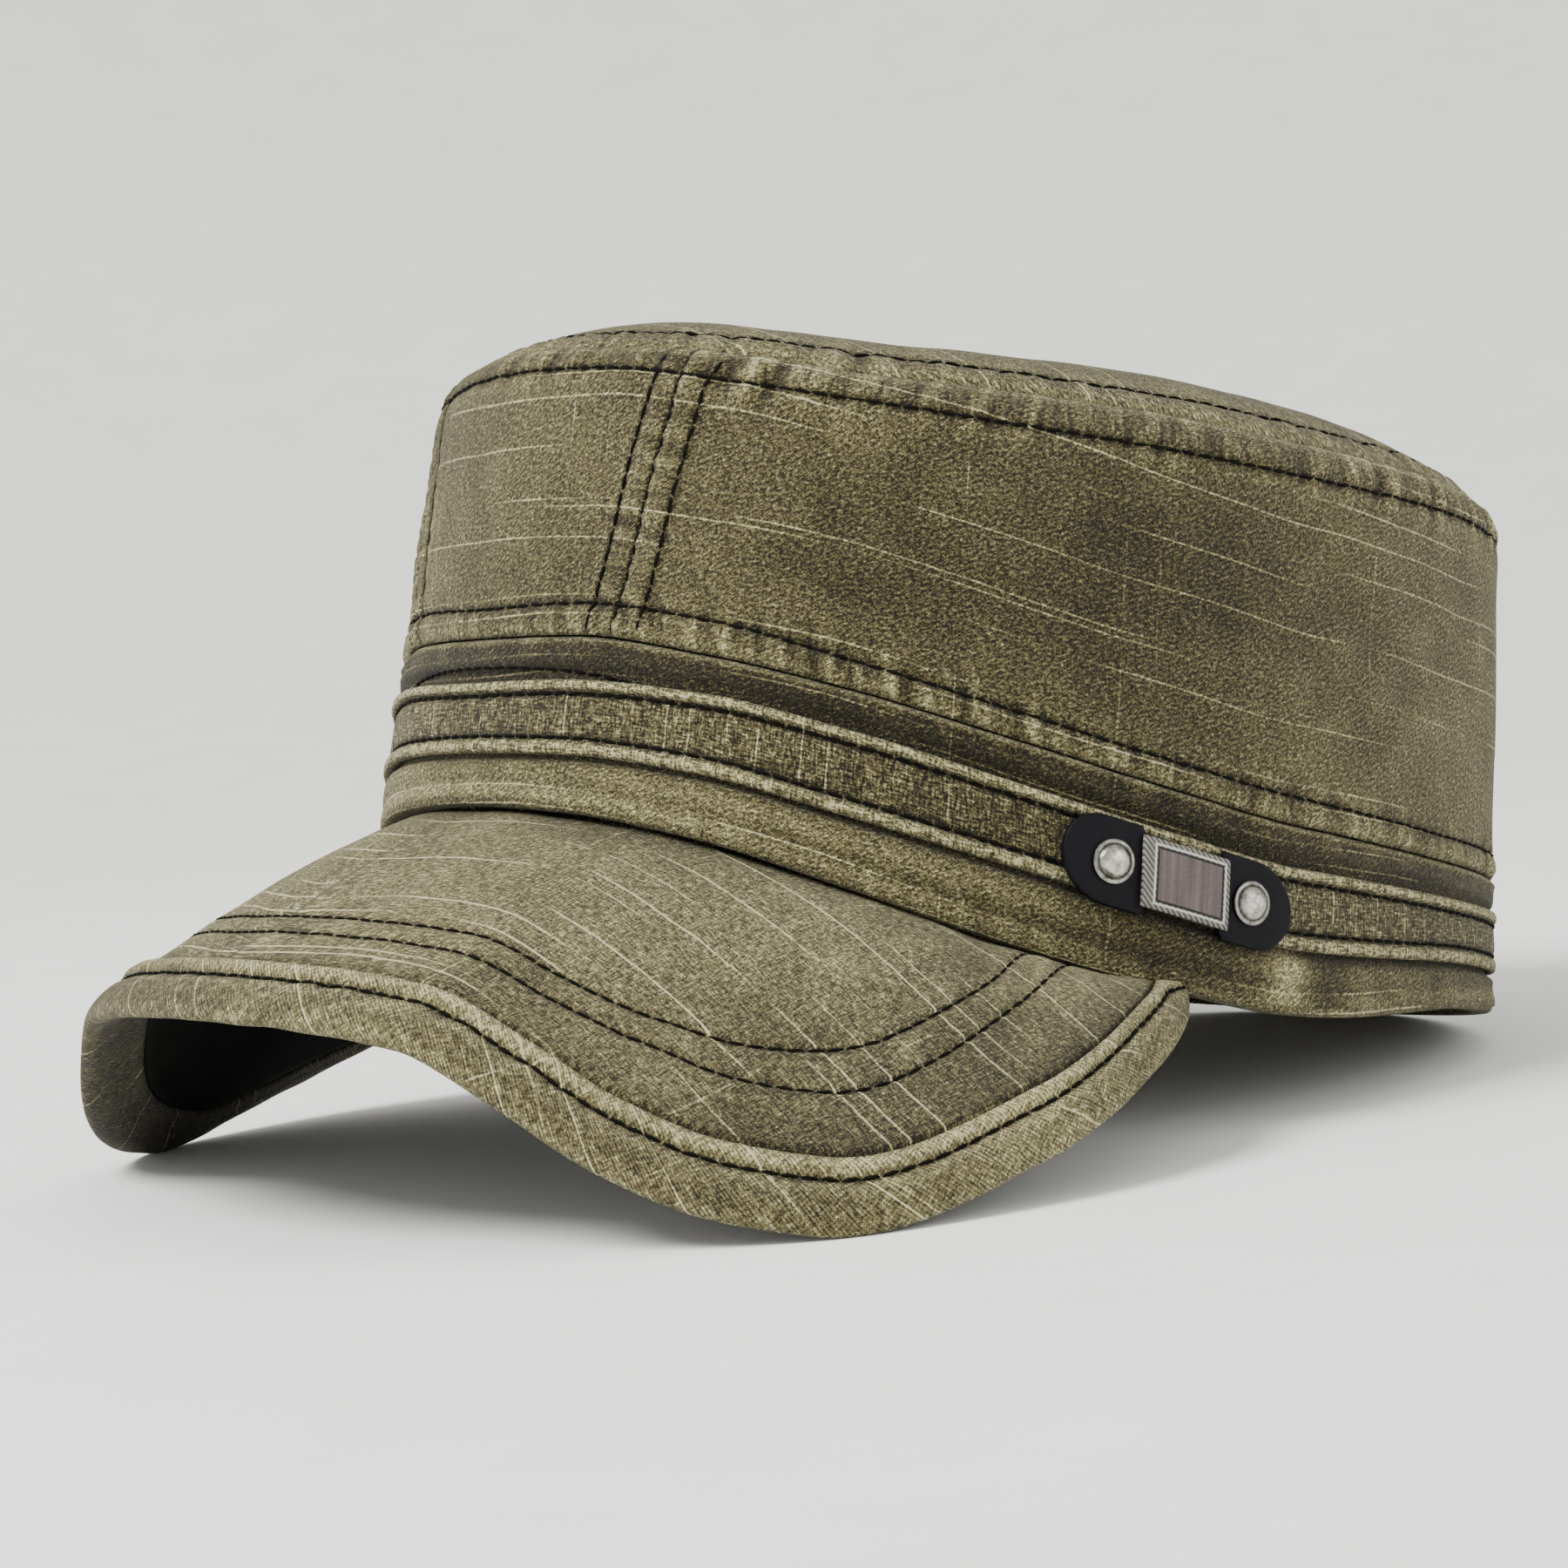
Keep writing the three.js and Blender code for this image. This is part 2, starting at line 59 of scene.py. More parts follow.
# %% Named sizes
head_length, head_width = 206.0, 176.0
crown_height = 92.0
crown_taper = 4.3
forward_lean = 0.3
gap = 0.3
shoulder_depth, shoulder_inset = 10.0, 3.2
rim_slant = 0.96
top_dome, dome_power = 11.0, 7.0
front_seam_low, front_seam_high = 29.0, 37.0
headband_thickness, headband_puff = 2.2, 0.5
band_thickness, band_recess, band_edge, ridge_rise = 1.2, 1.0, 2.0, 0.8
foot_roll = 2.4
peak_reach, peak_drop, peak_end_angle = 50.0, 50.0, 79.0
peak_crown, peak_side_swell = 2.5, 5.5
board_half = 2.2
binding_width, binding_half, binding_ridge = 11.7, 2.5, 0.8
strap_length, strap_width, strap_thickness = 41.0, 13.8, 1.8
strap_angle, strap_drop = 76.0, 1.3
label_length, label_width, label_thickness = 15.2, 11.0, 0.8
rivet_spacing = 24.6

rest_tilt = -0.216280620736179  # radians about X
rest_shift = np.array((0.0, 17.738688, 16.684477))

# Levels round the cap as shares of its height: angle, rim seam, stitch row under the
# rim, stitch row over the lower seam, lower seam, hat band top, hat band low, foot.
RIM, TOP_ROW, UPPER_ROW, SEAM, BAND_TOP, BAND_LOW, FOOT = range(1, 8)
levels = (
    (0, 1.059, 1.016, 0.594, 0.542, 0.453, 0.351, 0.250),
    (15, 1.053, 1.012, 0.601, 0.544, 0.457, 0.349, 0.241),
    (30, 1.038, 0.986, 0.576, 0.517, 0.441, 0.327, 0.208),
    (45, 1.013, 0.961, 0.521, 0.472, 0.394, 0.273, 0.145),
    (60, 1.006, 0.944, 0.462, 0.415, 0.333, 0.214, 0.076),
    (75, 1.002, 0.937, 0.409, 0.362, 0.277, 0.162, 0.025),
    (90, 0.996, 0.932, 0.373, 0.325, 0.241, 0.122, 0.000),
    (120, 1.004, 0.942, 0.352, 0.307, 0.233, 0.142, 0.050),
    (150, 1.005, 0.943, 0.351, 0.306, 0.233, 0.145, 0.058),
    (180, 1.006, 0.943, 0.351, 0.306, 0.233, 0.146, 0.058),
)

# Shape of the peak: angle, reach and drop as shares of peak_reach and peak_drop.
REACH, DROP = 1, 2
peak_rows = (
    (0, 0.97, 0.69), (10, 0.96, 0.69), (19, 0.94, 0.71), (26, 0.93, 0.82),
    (33, 0.93, 0.95), (39, 0.92, 0.995), (46, 0.90, 0.965), (60, 0.70, 0.58),
    (71, 0.38, 0.19), (76, 0.13, 0.08), (79, -0.05, 0.02),
)

# Stitch rows on the peak: angle and distance from the peak's edge.
outer_peak_row = ((0, 20.5), (25, 20.5), (35, 22.6), (45, 22.6), (53, 24.9), (60, 28.5), (66.8, 33.2))
inner_peak_row = ((0, 25), (25, 25), (35, 27.6), (45, 29.5), (53, 33), (58, 35.5), (62.2, 41))
print("levels at", len(levels), "angles, peak at", len(peak_rows))


# %% [markdown]
# ## The surfaces of the cap
#
# A smooth curve through each column of a table gives a level at any angle. The walls
# follow an oval that tapers upwards, and the peak is a skin swept round its root.

# %% Curves and walls
def curve(rows, column):
    """Smooth curve through one column of a table, level at its two ends."""
    keys = np.array([row[0] for row in rows], float)
    values = np.array([row[column] for row in rows], float)
    paces = np.diff(values) / np.diff(keys)
    slopes = np.zeros(len(keys))
    before, after = paces[:-1], paces[1:]
    same = before * after > 0
    total = np.where(same, before + after, 1.0)
    slopes[1:-1] = np.where(same, 2 * before * after / total, 0.0)

    def at(key):
        key = np.clip(np.abs(np.asarray(key, float)), keys[0], keys[-1])
        i = np.clip(np.searchsorted(keys, key, side="right") - 1, 0, len(keys) - 2)
        width = keys[i + 1] - keys[i]
        t = (key - keys[i]) / width
        ends = values[i] * (1 + 2 * t) * (1 - t) ** 2 + values[i + 1] * t * t * (3 - 2 * t)
        return ends + width * t * (1 - t) * (slopes[i] * (1 - t) - slopes[i + 1] * t)

    return at


level_curves = {column: curve(levels, column) for column in range(1, 8)}


def level(column, angle):
    return level_curves[column](angle) * crown_height


def wall(angle, height, out):
    """Points of the wall, moved outwards by out."""
    angle, height, out = np.broadcast_arrays(*(np.asarray(v, float) for v in (angle, height, out)))
    share = height / crown_height
    half_length = head_length / 2 - crown_taper * share + out
    half_width = head_width / 2 - crown_taper * share + out
    turn = np.radians(angle)
    return np.stack((
        half_width * np.sin(turn),
        -forward_lean * share - half_length * np.cos(turn),
        height,
    ), -1)


quarter = np.linspace(0, 180, 721)
oval = np.stack((
    head_width / 2 * np.sin(np.radians(quarter)),
    head_length / 2 * np.cos(np.radians(quarter)),
), 1)
arc_table = np.concatenate(((0,), np.cumsum(np.linalg.norm(np.diff(oval, axis=0), axis=1))))


def arc(angle):
    """Length along the wall from the middle of the forehead, with the angle's sign."""
    return np.sign(angle) * np.interp(np.abs(angle), quarter, arc_table)


def angle_at(length):
    """Angle at a length along the wall."""
    return np.sign(length) * np.interp(np.abs(length), arc_table, quarter)


def to_world(points):
    """From the cap's upright frame in millimetres to the resting pose in metres."""
    x, y, z = np.asarray(points, float).reshape(-1, 3).T
    cosine, sine = math.cos(rest_tilt), math.sin(rest_tilt)
    turned = np.stack((x, y * cosine - z * sine, y * sine + z * cosine), 1)
    return (turned + rest_shift) * 0.001


print("round the headband:", round(2 * arc_table[-1]), "mm")

# %% [markdown]
# ## Crumple and pull
#
# Washed cotton shrinks more than its thread, so the cloth puckers along each seam and
# is pulled down under each stitch row. The puckers are sums of sine waves of chosen
# lengths, so they look random and still come out the same in each run. Each point
# also keeps two numbers for its colour. One holds wear and painted shading: high folds
# are made pale, partly as washing wear and partly as painted highlight. Grooves,
# recesses and the sides of the cap are made dark as painted shade, with some dye left
# in the grooves. The other is pull, which says how strongly fine streaks run into a
# seam, and its sign says whether they stand or lie.


# %% Crumple helpers
one_wave_round = 2 * math.pi / (2 * arc_table[-1])  # radians a millimetre, for one wave round the cap


def near(distance, width):
    """1 on a line, falling to 0 past a width."""
    return np.exp(-(distance / width) ** 2)


def step(value, width):
    """0 below a line, 1 above it, with a soft edge."""
    return 0.5 + 0.5 * np.tanh(value / width)


def crimp(along, seed, shortest=3.6, longest=11.0, count=16):
    """Random wave along one line, of about -1 to 1."""
    rng = np.random.default_rng(seed)
    turn = np.asarray(along) * one_wave_round
    total = np.zeros(np.shape(along))
    for _ in range(count):
        waves = round(2 * arc_table[-1] / rng.uniform(shortest, longest))
        total += np.sin(turn * waves + rng.uniform(0, 2 * math.pi))
    stretches = 0.75 + 0.35 * np.sin(turn * 4 + seed)  # four stronger ones round the cap
    return total / math.sqrt(count) * stretches


def billow(x, y, size, seed, count=12):
    """Random soft field of about -1 to 1 with bumps of one size."""
    rng = np.random.default_rng(seed)
    total = np.zeros(np.broadcast(x, y).shape)
    for _ in range(count):
        turn = rng.uniform(0, 2 * math.pi)
        pace = 2 * math.pi / size * rng.uniform(0.6, 1.5)
        x_pace = round(pace * math.cos(turn) / one_wave_round) * one_wave_round
        total += np.sin(x * x_pace + y * pace * math.sin(turn) + rng.uniform(0, 2 * math.pi))
    return total / math.sqrt(count)


# %% [markdown]
# ## A piece of cloth
#
# One helper turns an array of points into a cloth piece. It adds Blender's own grid,
# moves its points, joins the edges that meet where the piece is a ring, and gives an
# open sheet its thickness with Solidify. The UV map holds real millimetres along and
# across the piece, so that a weave keeps its scale and runs with the cloth.


# %% The cloth helper
# A point's mark of wear and shading holds washing wear and also painted light and shade.
mark_limit = 1.5  # the strongest fade or pull that a point may have


def select_only(piece):
    bpy.ops.object.select_all(action="DESELECT")
    piece.select_set(True)
    bpy.context.view_layer.objects.active = piece


def join_doubles(piece, caps=False):
    """Merges points that coincide and closes open ends if asked."""
    select_only(piece)
    bpy.ops.object.mode_set(mode="EDIT")
    bpy.ops.mesh.select_all(action="SELECT")
    bpy.ops.mesh.remove_doubles(threshold=0.000002)
    if caps:
        bpy.ops.mesh.select_all(action="DESELECT")
        bpy.ops.mesh.select_mode(type="EDGE")
        bpy.ops.mesh.select_non_manifold()
        bpy.ops.mesh.fill_holes(sides=0)
        bpy.ops.mesh.select_mode(type="VERT")
    bpy.ops.object.mode_set(mode="OBJECT")


def cloth(name, points, uv, wear_and_shading, thickness=0.0, join=False, caps=False, pull=0.0):
    """Cloth piece from rows and columns of points in the cap's upright frame."""
    rows, columns = points.shape[:2]
    bpy.ops.object.select_all(action="DESELECT")
    bpy.ops.mesh.primitive_grid_add(x_subdivisions=columns - 1, y_subdivisions=rows - 1, size=1)
    piece = bpy.context.object
    piece.name = piece.data.name = name
    mesh = piece.data
    mesh.vertices.foreach_set("co", to_world(points).ravel())
    corners = np.empty(len(mesh.loops), int)
    mesh.loops.foreach_get("vertex_index", corners)
    flat = np.broadcast_to(uv, points.shape[:2] + (2,)).reshape(-1, 2)[corners] * 0.001
    mesh.uv_layers[0].data.foreach_set("uv", flat.ravel())
    for mark_name, values in (("wear_and_shading", wear_and_shading), ("pull", pull)):
        values = np.clip(np.broadcast_to(values, points.shape[:2]), -mark_limit, mark_limit)
        mark = mesh.attributes.new(mark_name, "FLOAT", "POINT")
        mark.data.foreach_set("value", values.ravel())
    mesh.update()
    if join:
        join_doubles(piece, caps)
    if thickness:
        select_only(piece)
        bpy.ops.object.modifier_add(type="SOLIDIFY")
        wall_modifier = piece.modifiers[-1]
        wall_modifier.thickness = thickness * 0.001
        wall_modifier.offset = -1
        bpy.ops.object.modifier_apply(modifier=wall_modifier.name)
    select_only(piece)
    bpy.ops.object.shade_smooth()
    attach(piece, "root")
    triangles = sum(len(face.vertices) - 2 for face in mesh.polygons)
    print(f"{name}: {triangles} triangles")
    return piece


made = {}

# %% [markdown]
# ## The tall panels
#
# The front panel and the two side panels are cut from one cloth and joined by felled
# seams: the edges are folded over each other and sewn flat with two rows of thread,
# about 5 mm each side of the seam line. The same kind of row runs under the rim and
# over the lower seam. Each row pulls the cloth down by a third of a millimetre.

# %% Shape of the tall panels
felled_half, felled_rise = 4.8, 0.43
row_width = 0.6  # half width of the groove that a stitch row pulls into the cloth
panel_thickness = 1.3
shoulder_turn = math.radians(70)
shoulder_arc = 11.0


def tall_profile(angle, share):
    """Height, inset, length from the lower seam and whole length of a panel's wall."""
    low = level(SEAM, angle) + gap / 2
    rim = level(RIM, angle)
    straight = rim - shoulder_depth - low
    whole = straight + shoulder_arc
    along = share * whole
    bend = np.clip((along - straight) / shoulder_arc, 0, 1) * shoulder_turn
    over = rim - shoulder_depth + shoulder_depth * np.sin(bend) / math.sin(shoulder_turn)
    height = np.where(along < straight, low + along, over)
    inset = shoulder_inset * (1 - np.cos(bend)) / (1 - math.cos(shoulder_turn))
    return height, inset, along, whole


def tall_share(angle, height):
    """Share of a panel's wall at a height."""
    low = level(SEAM, angle) + gap / 2
    rim = level(RIM, angle)
    straight = rim - shoulder_depth - low
    rise = np.clip((height - low - straight) / shoulder_depth, 0, 1) * math.sin(shoulder_turn)
    over = straight + np.arcsin(rise) / shoulder_turn * shoulder_arc
    along = np.where(height - low < straight, height - low, over)
    return along / (straight + shoulder_arc)


def front_seam(share):
    """Angle of the front seam at a share of the panels' height."""
    half = front_seam_low + (front_seam_high - front_seam_low) * share
    return np.degrees(np.arcsin(half / (head_width / 2)))


def tall_relief(angle, share):
    """How far the cloth of the tall panels stands out, and its wear and painted shading."""
    height, inset, along, whole = tall_profile(angle, share)
    u = arc(angle)
    under_rim = whole - along
    upper = height - level(UPPER_ROW, angle)
    top = height - level(TOP_ROW, angle)
    seam = np.abs(u) - arc(front_seam(share))
    rear = arc(180) - np.abs(u)
    seam = np.where(rear < 20, rear, seam)
    left = step(angle, 3.0)
    grooves = near(upper, row_width) + near(top, row_width)
    side_grooves = near(seam - felled_half, row_width) + near(seam + felled_half, row_width)
    felled = step(felled_half + row_width - np.abs(seam), 0.5)
    low_turn = step(-upper, 0.5)
    rim_turn = step(top, 0.5)
    low_crimp = crimp(u + 0.25 * upper, 11) * near(upper + 2.2, 4.0)
    rim_crimp = crimp(u - 0.4 * top, 12, 4.0, 12.0) * near(top - 2.2, 4.5)
    seam_crimp = crimp(along + 0.2 * seam, 13, 3.2, 8.0) * near(seam, 6.0)
    field = np.sin(math.pi * np.clip(share, 0, 1))
    soft = billow(u, along, 46, 21) * field
    fine = billow(u, along, 15, 22) * field
    edge = near(along, 0.9) + 0.7 * near(under_rim, 0.9) + 0.5 * near(seam, 0.55)
    # Relief in millimetres: folded layers stand up, rows and edges sink, washing puckers.
    out = (
        -inset + felled_rise * felled + 0.40 * low_turn + 0.45 * rim_turn
        - 0.50 * grooves - 0.45 * side_grooves - 0.85 * edge
        + 0.30 * low_crimp + 0.38 * rim_crimp + 0.20 * seam_crimp
        + 0.45 * soft + 0.10 * fine
    )
    crease = near(u + 21 + 0.06 * along, 1.0) + 0.8 * near(u + 27, 0.8)
    # Wear and shading: pale along folded edges and on high puckers, partly wear and partly
    # painted highlight. The rows and the seam line are dark, painted shade with some dye
    # left in them. There are two pale creases on the wearer's right. A painted shade lies on
    # the sides round 66 degrees, and the cloth is lighter again toward the back.
    wear_and_shading = (
        0.7 * low_crimp + 0.7 * rim_crimp + 0.5 * seam_crimp
        + 0.7 * near(along - 1.2, 0.8) + 0.7 * near(under_rim - 1.3, 0.9)
        + 0.45 * near(seam - 1.0, 0.5) + 0.35 * near(seam + 6.0, 0.9) - 0.5 * near(seam, 0.4)
        + 0.25 * (near(seam - felled_half + 1.3, 0.7) + near(seam + felled_half - 1.3, 0.7))
        + 0.30 * near(top + 2.0, 1.0) - 1.1 * (grooves + side_grooves)
        + 0.15 * soft + 0.10 * fine + 0.5 * crease * field * (1 - left)
        - 0.95 * near(np.abs(angle) - 66, 27) * field ** 1.3 + 0.3 * near(np.abs(angle) - 120, 25)
    )
    pull = near(upper + 1.5, 4.5) + near(top - 2.0, 4.5)
    pull = np.where(np.abs(seam) < 6.5, -0.8 * near(seam, 6.0) * field + pull * (1 - field), pull)
    return out, wear_and_shading, height, pull


def tall_panel(name, first, last, columns, rows):
    """Panel between two edges, each an angle at every share of the height."""
    share = np.linspace(0, 1, rows)[:, None]
    across = np.linspace(0, 1, columns)[None, :]
    start, end = first(share), last(share)
    angle = start + (end - start) * across
    out, wear_and_shading, height, pull = tall_relief(angle, share)
    along = tall_profile(angle, share)[2]
    uv = np.stack((arc(angle), along), -1)
    return cloth(name, wall(angle, height, out), uv, wear_and_shading, panel_thickness, pull=pull)


half_gap = 0.02  # degrees: the sewn edges all but touch


def front_edge(share):
    return front_seam(share) - half_gap


def side_edge(share):
    return front_seam(share) + half_gap


def rear_edge(share):
    return 180 - half_gap + 0 * share


made["front"] = tall_panel("front_panel", lambda s: -front_edge(s), front_edge, 110, 96)
made["left"] = tall_panel("left_side_panel", side_edge, rear_edge, 290, 96)
made["right"] = tall_panel("right_side_panel", lambda s: -rear_edge(s), lambda s: -side_edge(s), 290, 96)

# %% [markdown]
# ## The top panel
#
# The top is an oval of the same cloth, sewn to the side panels at the rim with its
# own stitch row 5 mm in. It stands up at once past the seam and then lies nearly flat.

# %% Top panel
top_row_inset = 5.0
top_span = 88.0  # from the rim to the middle, across
centre_height = (level(RIM, 0) + level(RIM, 90) * 2 + level(RIM, 180)) / 4


def top_skin(angle, share):
    """Points and marks of wear and painted shading of the top panel, share 1 at the rim and 0 in its
    middle.
    """
    rim = level(RIM, angle)
    edge = wall(angle, rim, -shoulder_inset - gap / math.sin(rim_slant))
    inward = (1 - share) * top_span
    lift = top_dome * (1 - share ** dome_power)
    height = rim * share ** 2 + centre_height * (1 - share ** 2) + lift
    u = arc(angle)
    x, y = edge[..., 0] * share, edge[..., 1] * share
    row = inward - top_row_inset
    crimps = crimp(u + 0.4 * row, 31, 4.0, 12.0) * near(row + 1.6, 4.2)
    soft = billow(x, y, 60, 32) * (1 - share ** 6)
    fine = billow(x, y, 17, 33) * (1 - share ** 6)
    turned = step(-row, 0.5)
    groove = near(row, 0.8)
    rise = 0.40 * turned - 0.45 * groove - 0.9 * near(inward, 0.9)
    rise = rise + 0.36 * crimps + 0.55 * soft + 0.10 * fine
    # Pale on high puckers and along the rim, partly wear and partly painted highlight. The row's groove
    # is dark as painted shade, with some dye left in it.
    wear_and_shading = 0.8 * crimps + 0.6 * near(inward - 1.2, 0.9) + 0.35 * near(row - 2.2, 1.1)
    wear_and_shading = wear_and_shading - 1.1 * groove + 0.2 * soft + 0.16 * fine
    return np.stack((x, y, height + rise), -1), wear_and_shading


share = np.concatenate((np.linspace(1, 0.85, 20), np.linspace(0.85, 0, 26)[1:]))[:, None]
angle = np.linspace(-180, 180, 401)[None, :]
points, wear_and_shading = top_skin(angle, share)
made["top"] = cloth("top_panel", points, points[..., :2], wear_and_shading, panel_thickness, join=True)

# %% [markdown]
# ## The strip under the tall panels
#
# A narrow strip lies between the tall panels and the hat band. Its folded upper edge
# stands a little proud and is made pale, partly as wear and partly as painted highlight.
# Its lower part goes in behind the band, where a painted shadow darkens it.
# In front a third row of thread runs along it and dips behind the band at each side.

# %% Lower strip
strip_row_end = 24.0  # angle at which the strip's own row goes behind the band


def strip_relief(angle, height):
    """How far the strip stands out, and its wear and painted shading."""
    u = arc(angle)
    down = level(SEAM, angle) - gap / 2 - height
    over_band = height - level(BAND_TOP, angle) - band_edge / 2
    sunk_height = 2.2 - 1.3 * step(np.abs(angle) - 118, 8)
    sink = (band_recess + 0.15) * step(sunk_height - over_band, 0.5)
    waves = crimp(u, 41, 5.0, 14.0) * near(down - 1.5, 3.0)
    lump = near(down - 0.9, 0.8)
    row = down - strip_row_depth(angle)
    groove = near(row, 0.7) * step(strip_row_end - np.abs(angle), 2.0)
    out = 0.28 + 0.22 * lump - sink - 0.7 * near(down, 0.45) + 0.16 * waves - 0.3 * groove
    # Painted shadow: the whole strip is darkened. The darkening is strongest in the few millimetres just
    # above the hat band and round 42 degrees each side, partly as shade and partly as dye left in the
    # recess. Its stitch row is darkened as painted shade, and behind 105 degrees the strip is lighter.
    shade = near(over_band, 4.5) * (0.55 + 0.45 * near(np.abs(angle) - 42, 34))
    wear_and_shading = 1.6 * near(down - 0.5, 0.5) + 0.4 * waves - 1.5 * shade - 0.6 * groove - 0.8
    wear_and_shading = wear_and_shading + 0.5 * step(np.abs(angle) - 105, 12)
    return out, wear_and_shading


def strip_row_depth(angle):
    """Depth of the strip's own stitch row below its upper edge."""
    return 4.6 + 2.2 * (np.minimum(np.abs(angle), strip_row_end) / strip_row_end) ** 2


def ring_piece(name, angle, height, out, wear_and_shading, thickness=0.0, pull=0.0):
    """Ring round the cap from rows of heights and outward moves."""
    across = np.cumsum(np.concatenate((
        np.zeros((1, angle.shape[1])),
        np.hypot(np.diff(height, axis=0), np.diff(out, axis=0)),
    )), axis=0)
    uv = np.stack((np.broadcast_to(arc(angle), height.shape), across), -1)
    return cloth(name, wall(angle, height, out), uv, wear_and_shading, thickness, join=True, pull=pull)


angle = np.linspace(-180, 180, 481)[None, :]
share = np.linspace(0, 1, 22)[:, None]
low = level(BAND_TOP, angle) - band_edge / 2
height = low + (level(SEAM, angle) - gap / 2 - low) * share
out, wear_and_shading = strip_relief(angle, height)
made["strip"] = ring_piece("lower_strip", angle, height, out, wear_and_shading, thickness=1.2)

# %% [markdown]
# ## The hat band
#
# The band is a strip folded along both edges. The folds are stitched down 2 mm in, so
# that each stands up as a small round ridge that washing has worn almost white. Its
# section is drawn as rows: a share of the way up, and how far each row stands out.

# %% Hat band
band_back = -band_recess + gap
band_face = band_back + band_thickness
low_ridge, top_ridge = 2.3, 1.8  # widths of the two ridges


def band_relief(angle, height):
    """How far the band stands out, and its wear and painted shading."""
    u = arc(angle)
    up = height - level(BAND_LOW, angle) + band_edge / 2
    down = level(BAND_TOP, angle) + band_edge / 2 - height
    low_bump = np.sqrt(np.clip(1 - ((up - low_ridge / 2) / (low_ridge / 2)) ** 2, 0, 1))
    top_bump = np.sqrt(np.clip(1 - ((down - top_ridge / 2) / (top_ridge / 2)) ** 2, 0, 1))
    rows = near(up - low_ridge - 0.45, 0.55) + near(down - top_ridge - 0.45, 0.55)
    crimps = crimp(u, 51, 2.8, 8.0) * near(up - 1.6, 2.6) + crimp(u, 52, 2.8, 8.0) * near(down - 1.4, 2.6)
    field = step(up - 3, 0.6) * step(down - 3, 0.6)
    ribs = billow(u * 1.6, height, 9, 53) * field
    rise = ridge_rise * (1 - 0.5 * step(np.abs(angle) - 112, 12))
    out = band_face + rise * (low_bump + top_bump) - 0.35 * rows + 0.12 * crimps + 0.10 * ribs
    # The ridges are made pale as wear. The stitch rows beside them are darkened as painted shade, with
    # some dye left in them. The band's field is darkened round 62 degrees each side as painted shade on
    # the sides.
    wear_and_shading = 1.5 * low_bump ** 2 + 1.8 * top_bump ** 2 - 1.6 * rows + 0.25 * crimps * field
    dark = 0.45 * near(np.abs(angle) - 62, 22) * field
    pull = 0.5 * (low_bump + top_bump) + 0.15 * field
    return out, wear_and_shading - 0.18 * field - dark + 0.2 * ribs, pull


share = np.concatenate((
    np.linspace(0, 0.24, 13), np.linspace(0.24, 0.8, 14)[1:], np.linspace(0.8, 1, 12)[1:],
))[:, None]
low = level(BAND_LOW, angle) - band_edge / 2
top = level(BAND_TOP, angle) + band_edge / 2
height = low + (top - low) * share
out, wear_and_shading, pull = band_relief(angle, height)
back = np.stack((height[-1], height[0], height[0]))
height = np.concatenate((height, back))
out = np.concatenate((out, np.full((2, out.shape[1]), band_back), out[:1]))
wear_and_shading = np.concatenate((wear_and_shading, np.full((2, wear_and_shading.shape[1]), -0.5), wear_and_shading[:1]))
pull = np.concatenate((pull, np.zeros((2, pull.shape[1])), pull[:1]))
made["band"] = ring_piece("folded_hat_band", angle, height, out, wear_and_shading, pull=pull)

# %% [markdown]
# ## The headband
#
# Behind the hat band lies the headband. Under the band it swells out, and at its foot
# it rolls inwards, where it is sewn to the peak in front. It is drawn as a closed
# section so that it can be seen from inside the cap too.


# %% Headband
fold_angle = 88.5  # where the headband folds, behind the strap's rear end


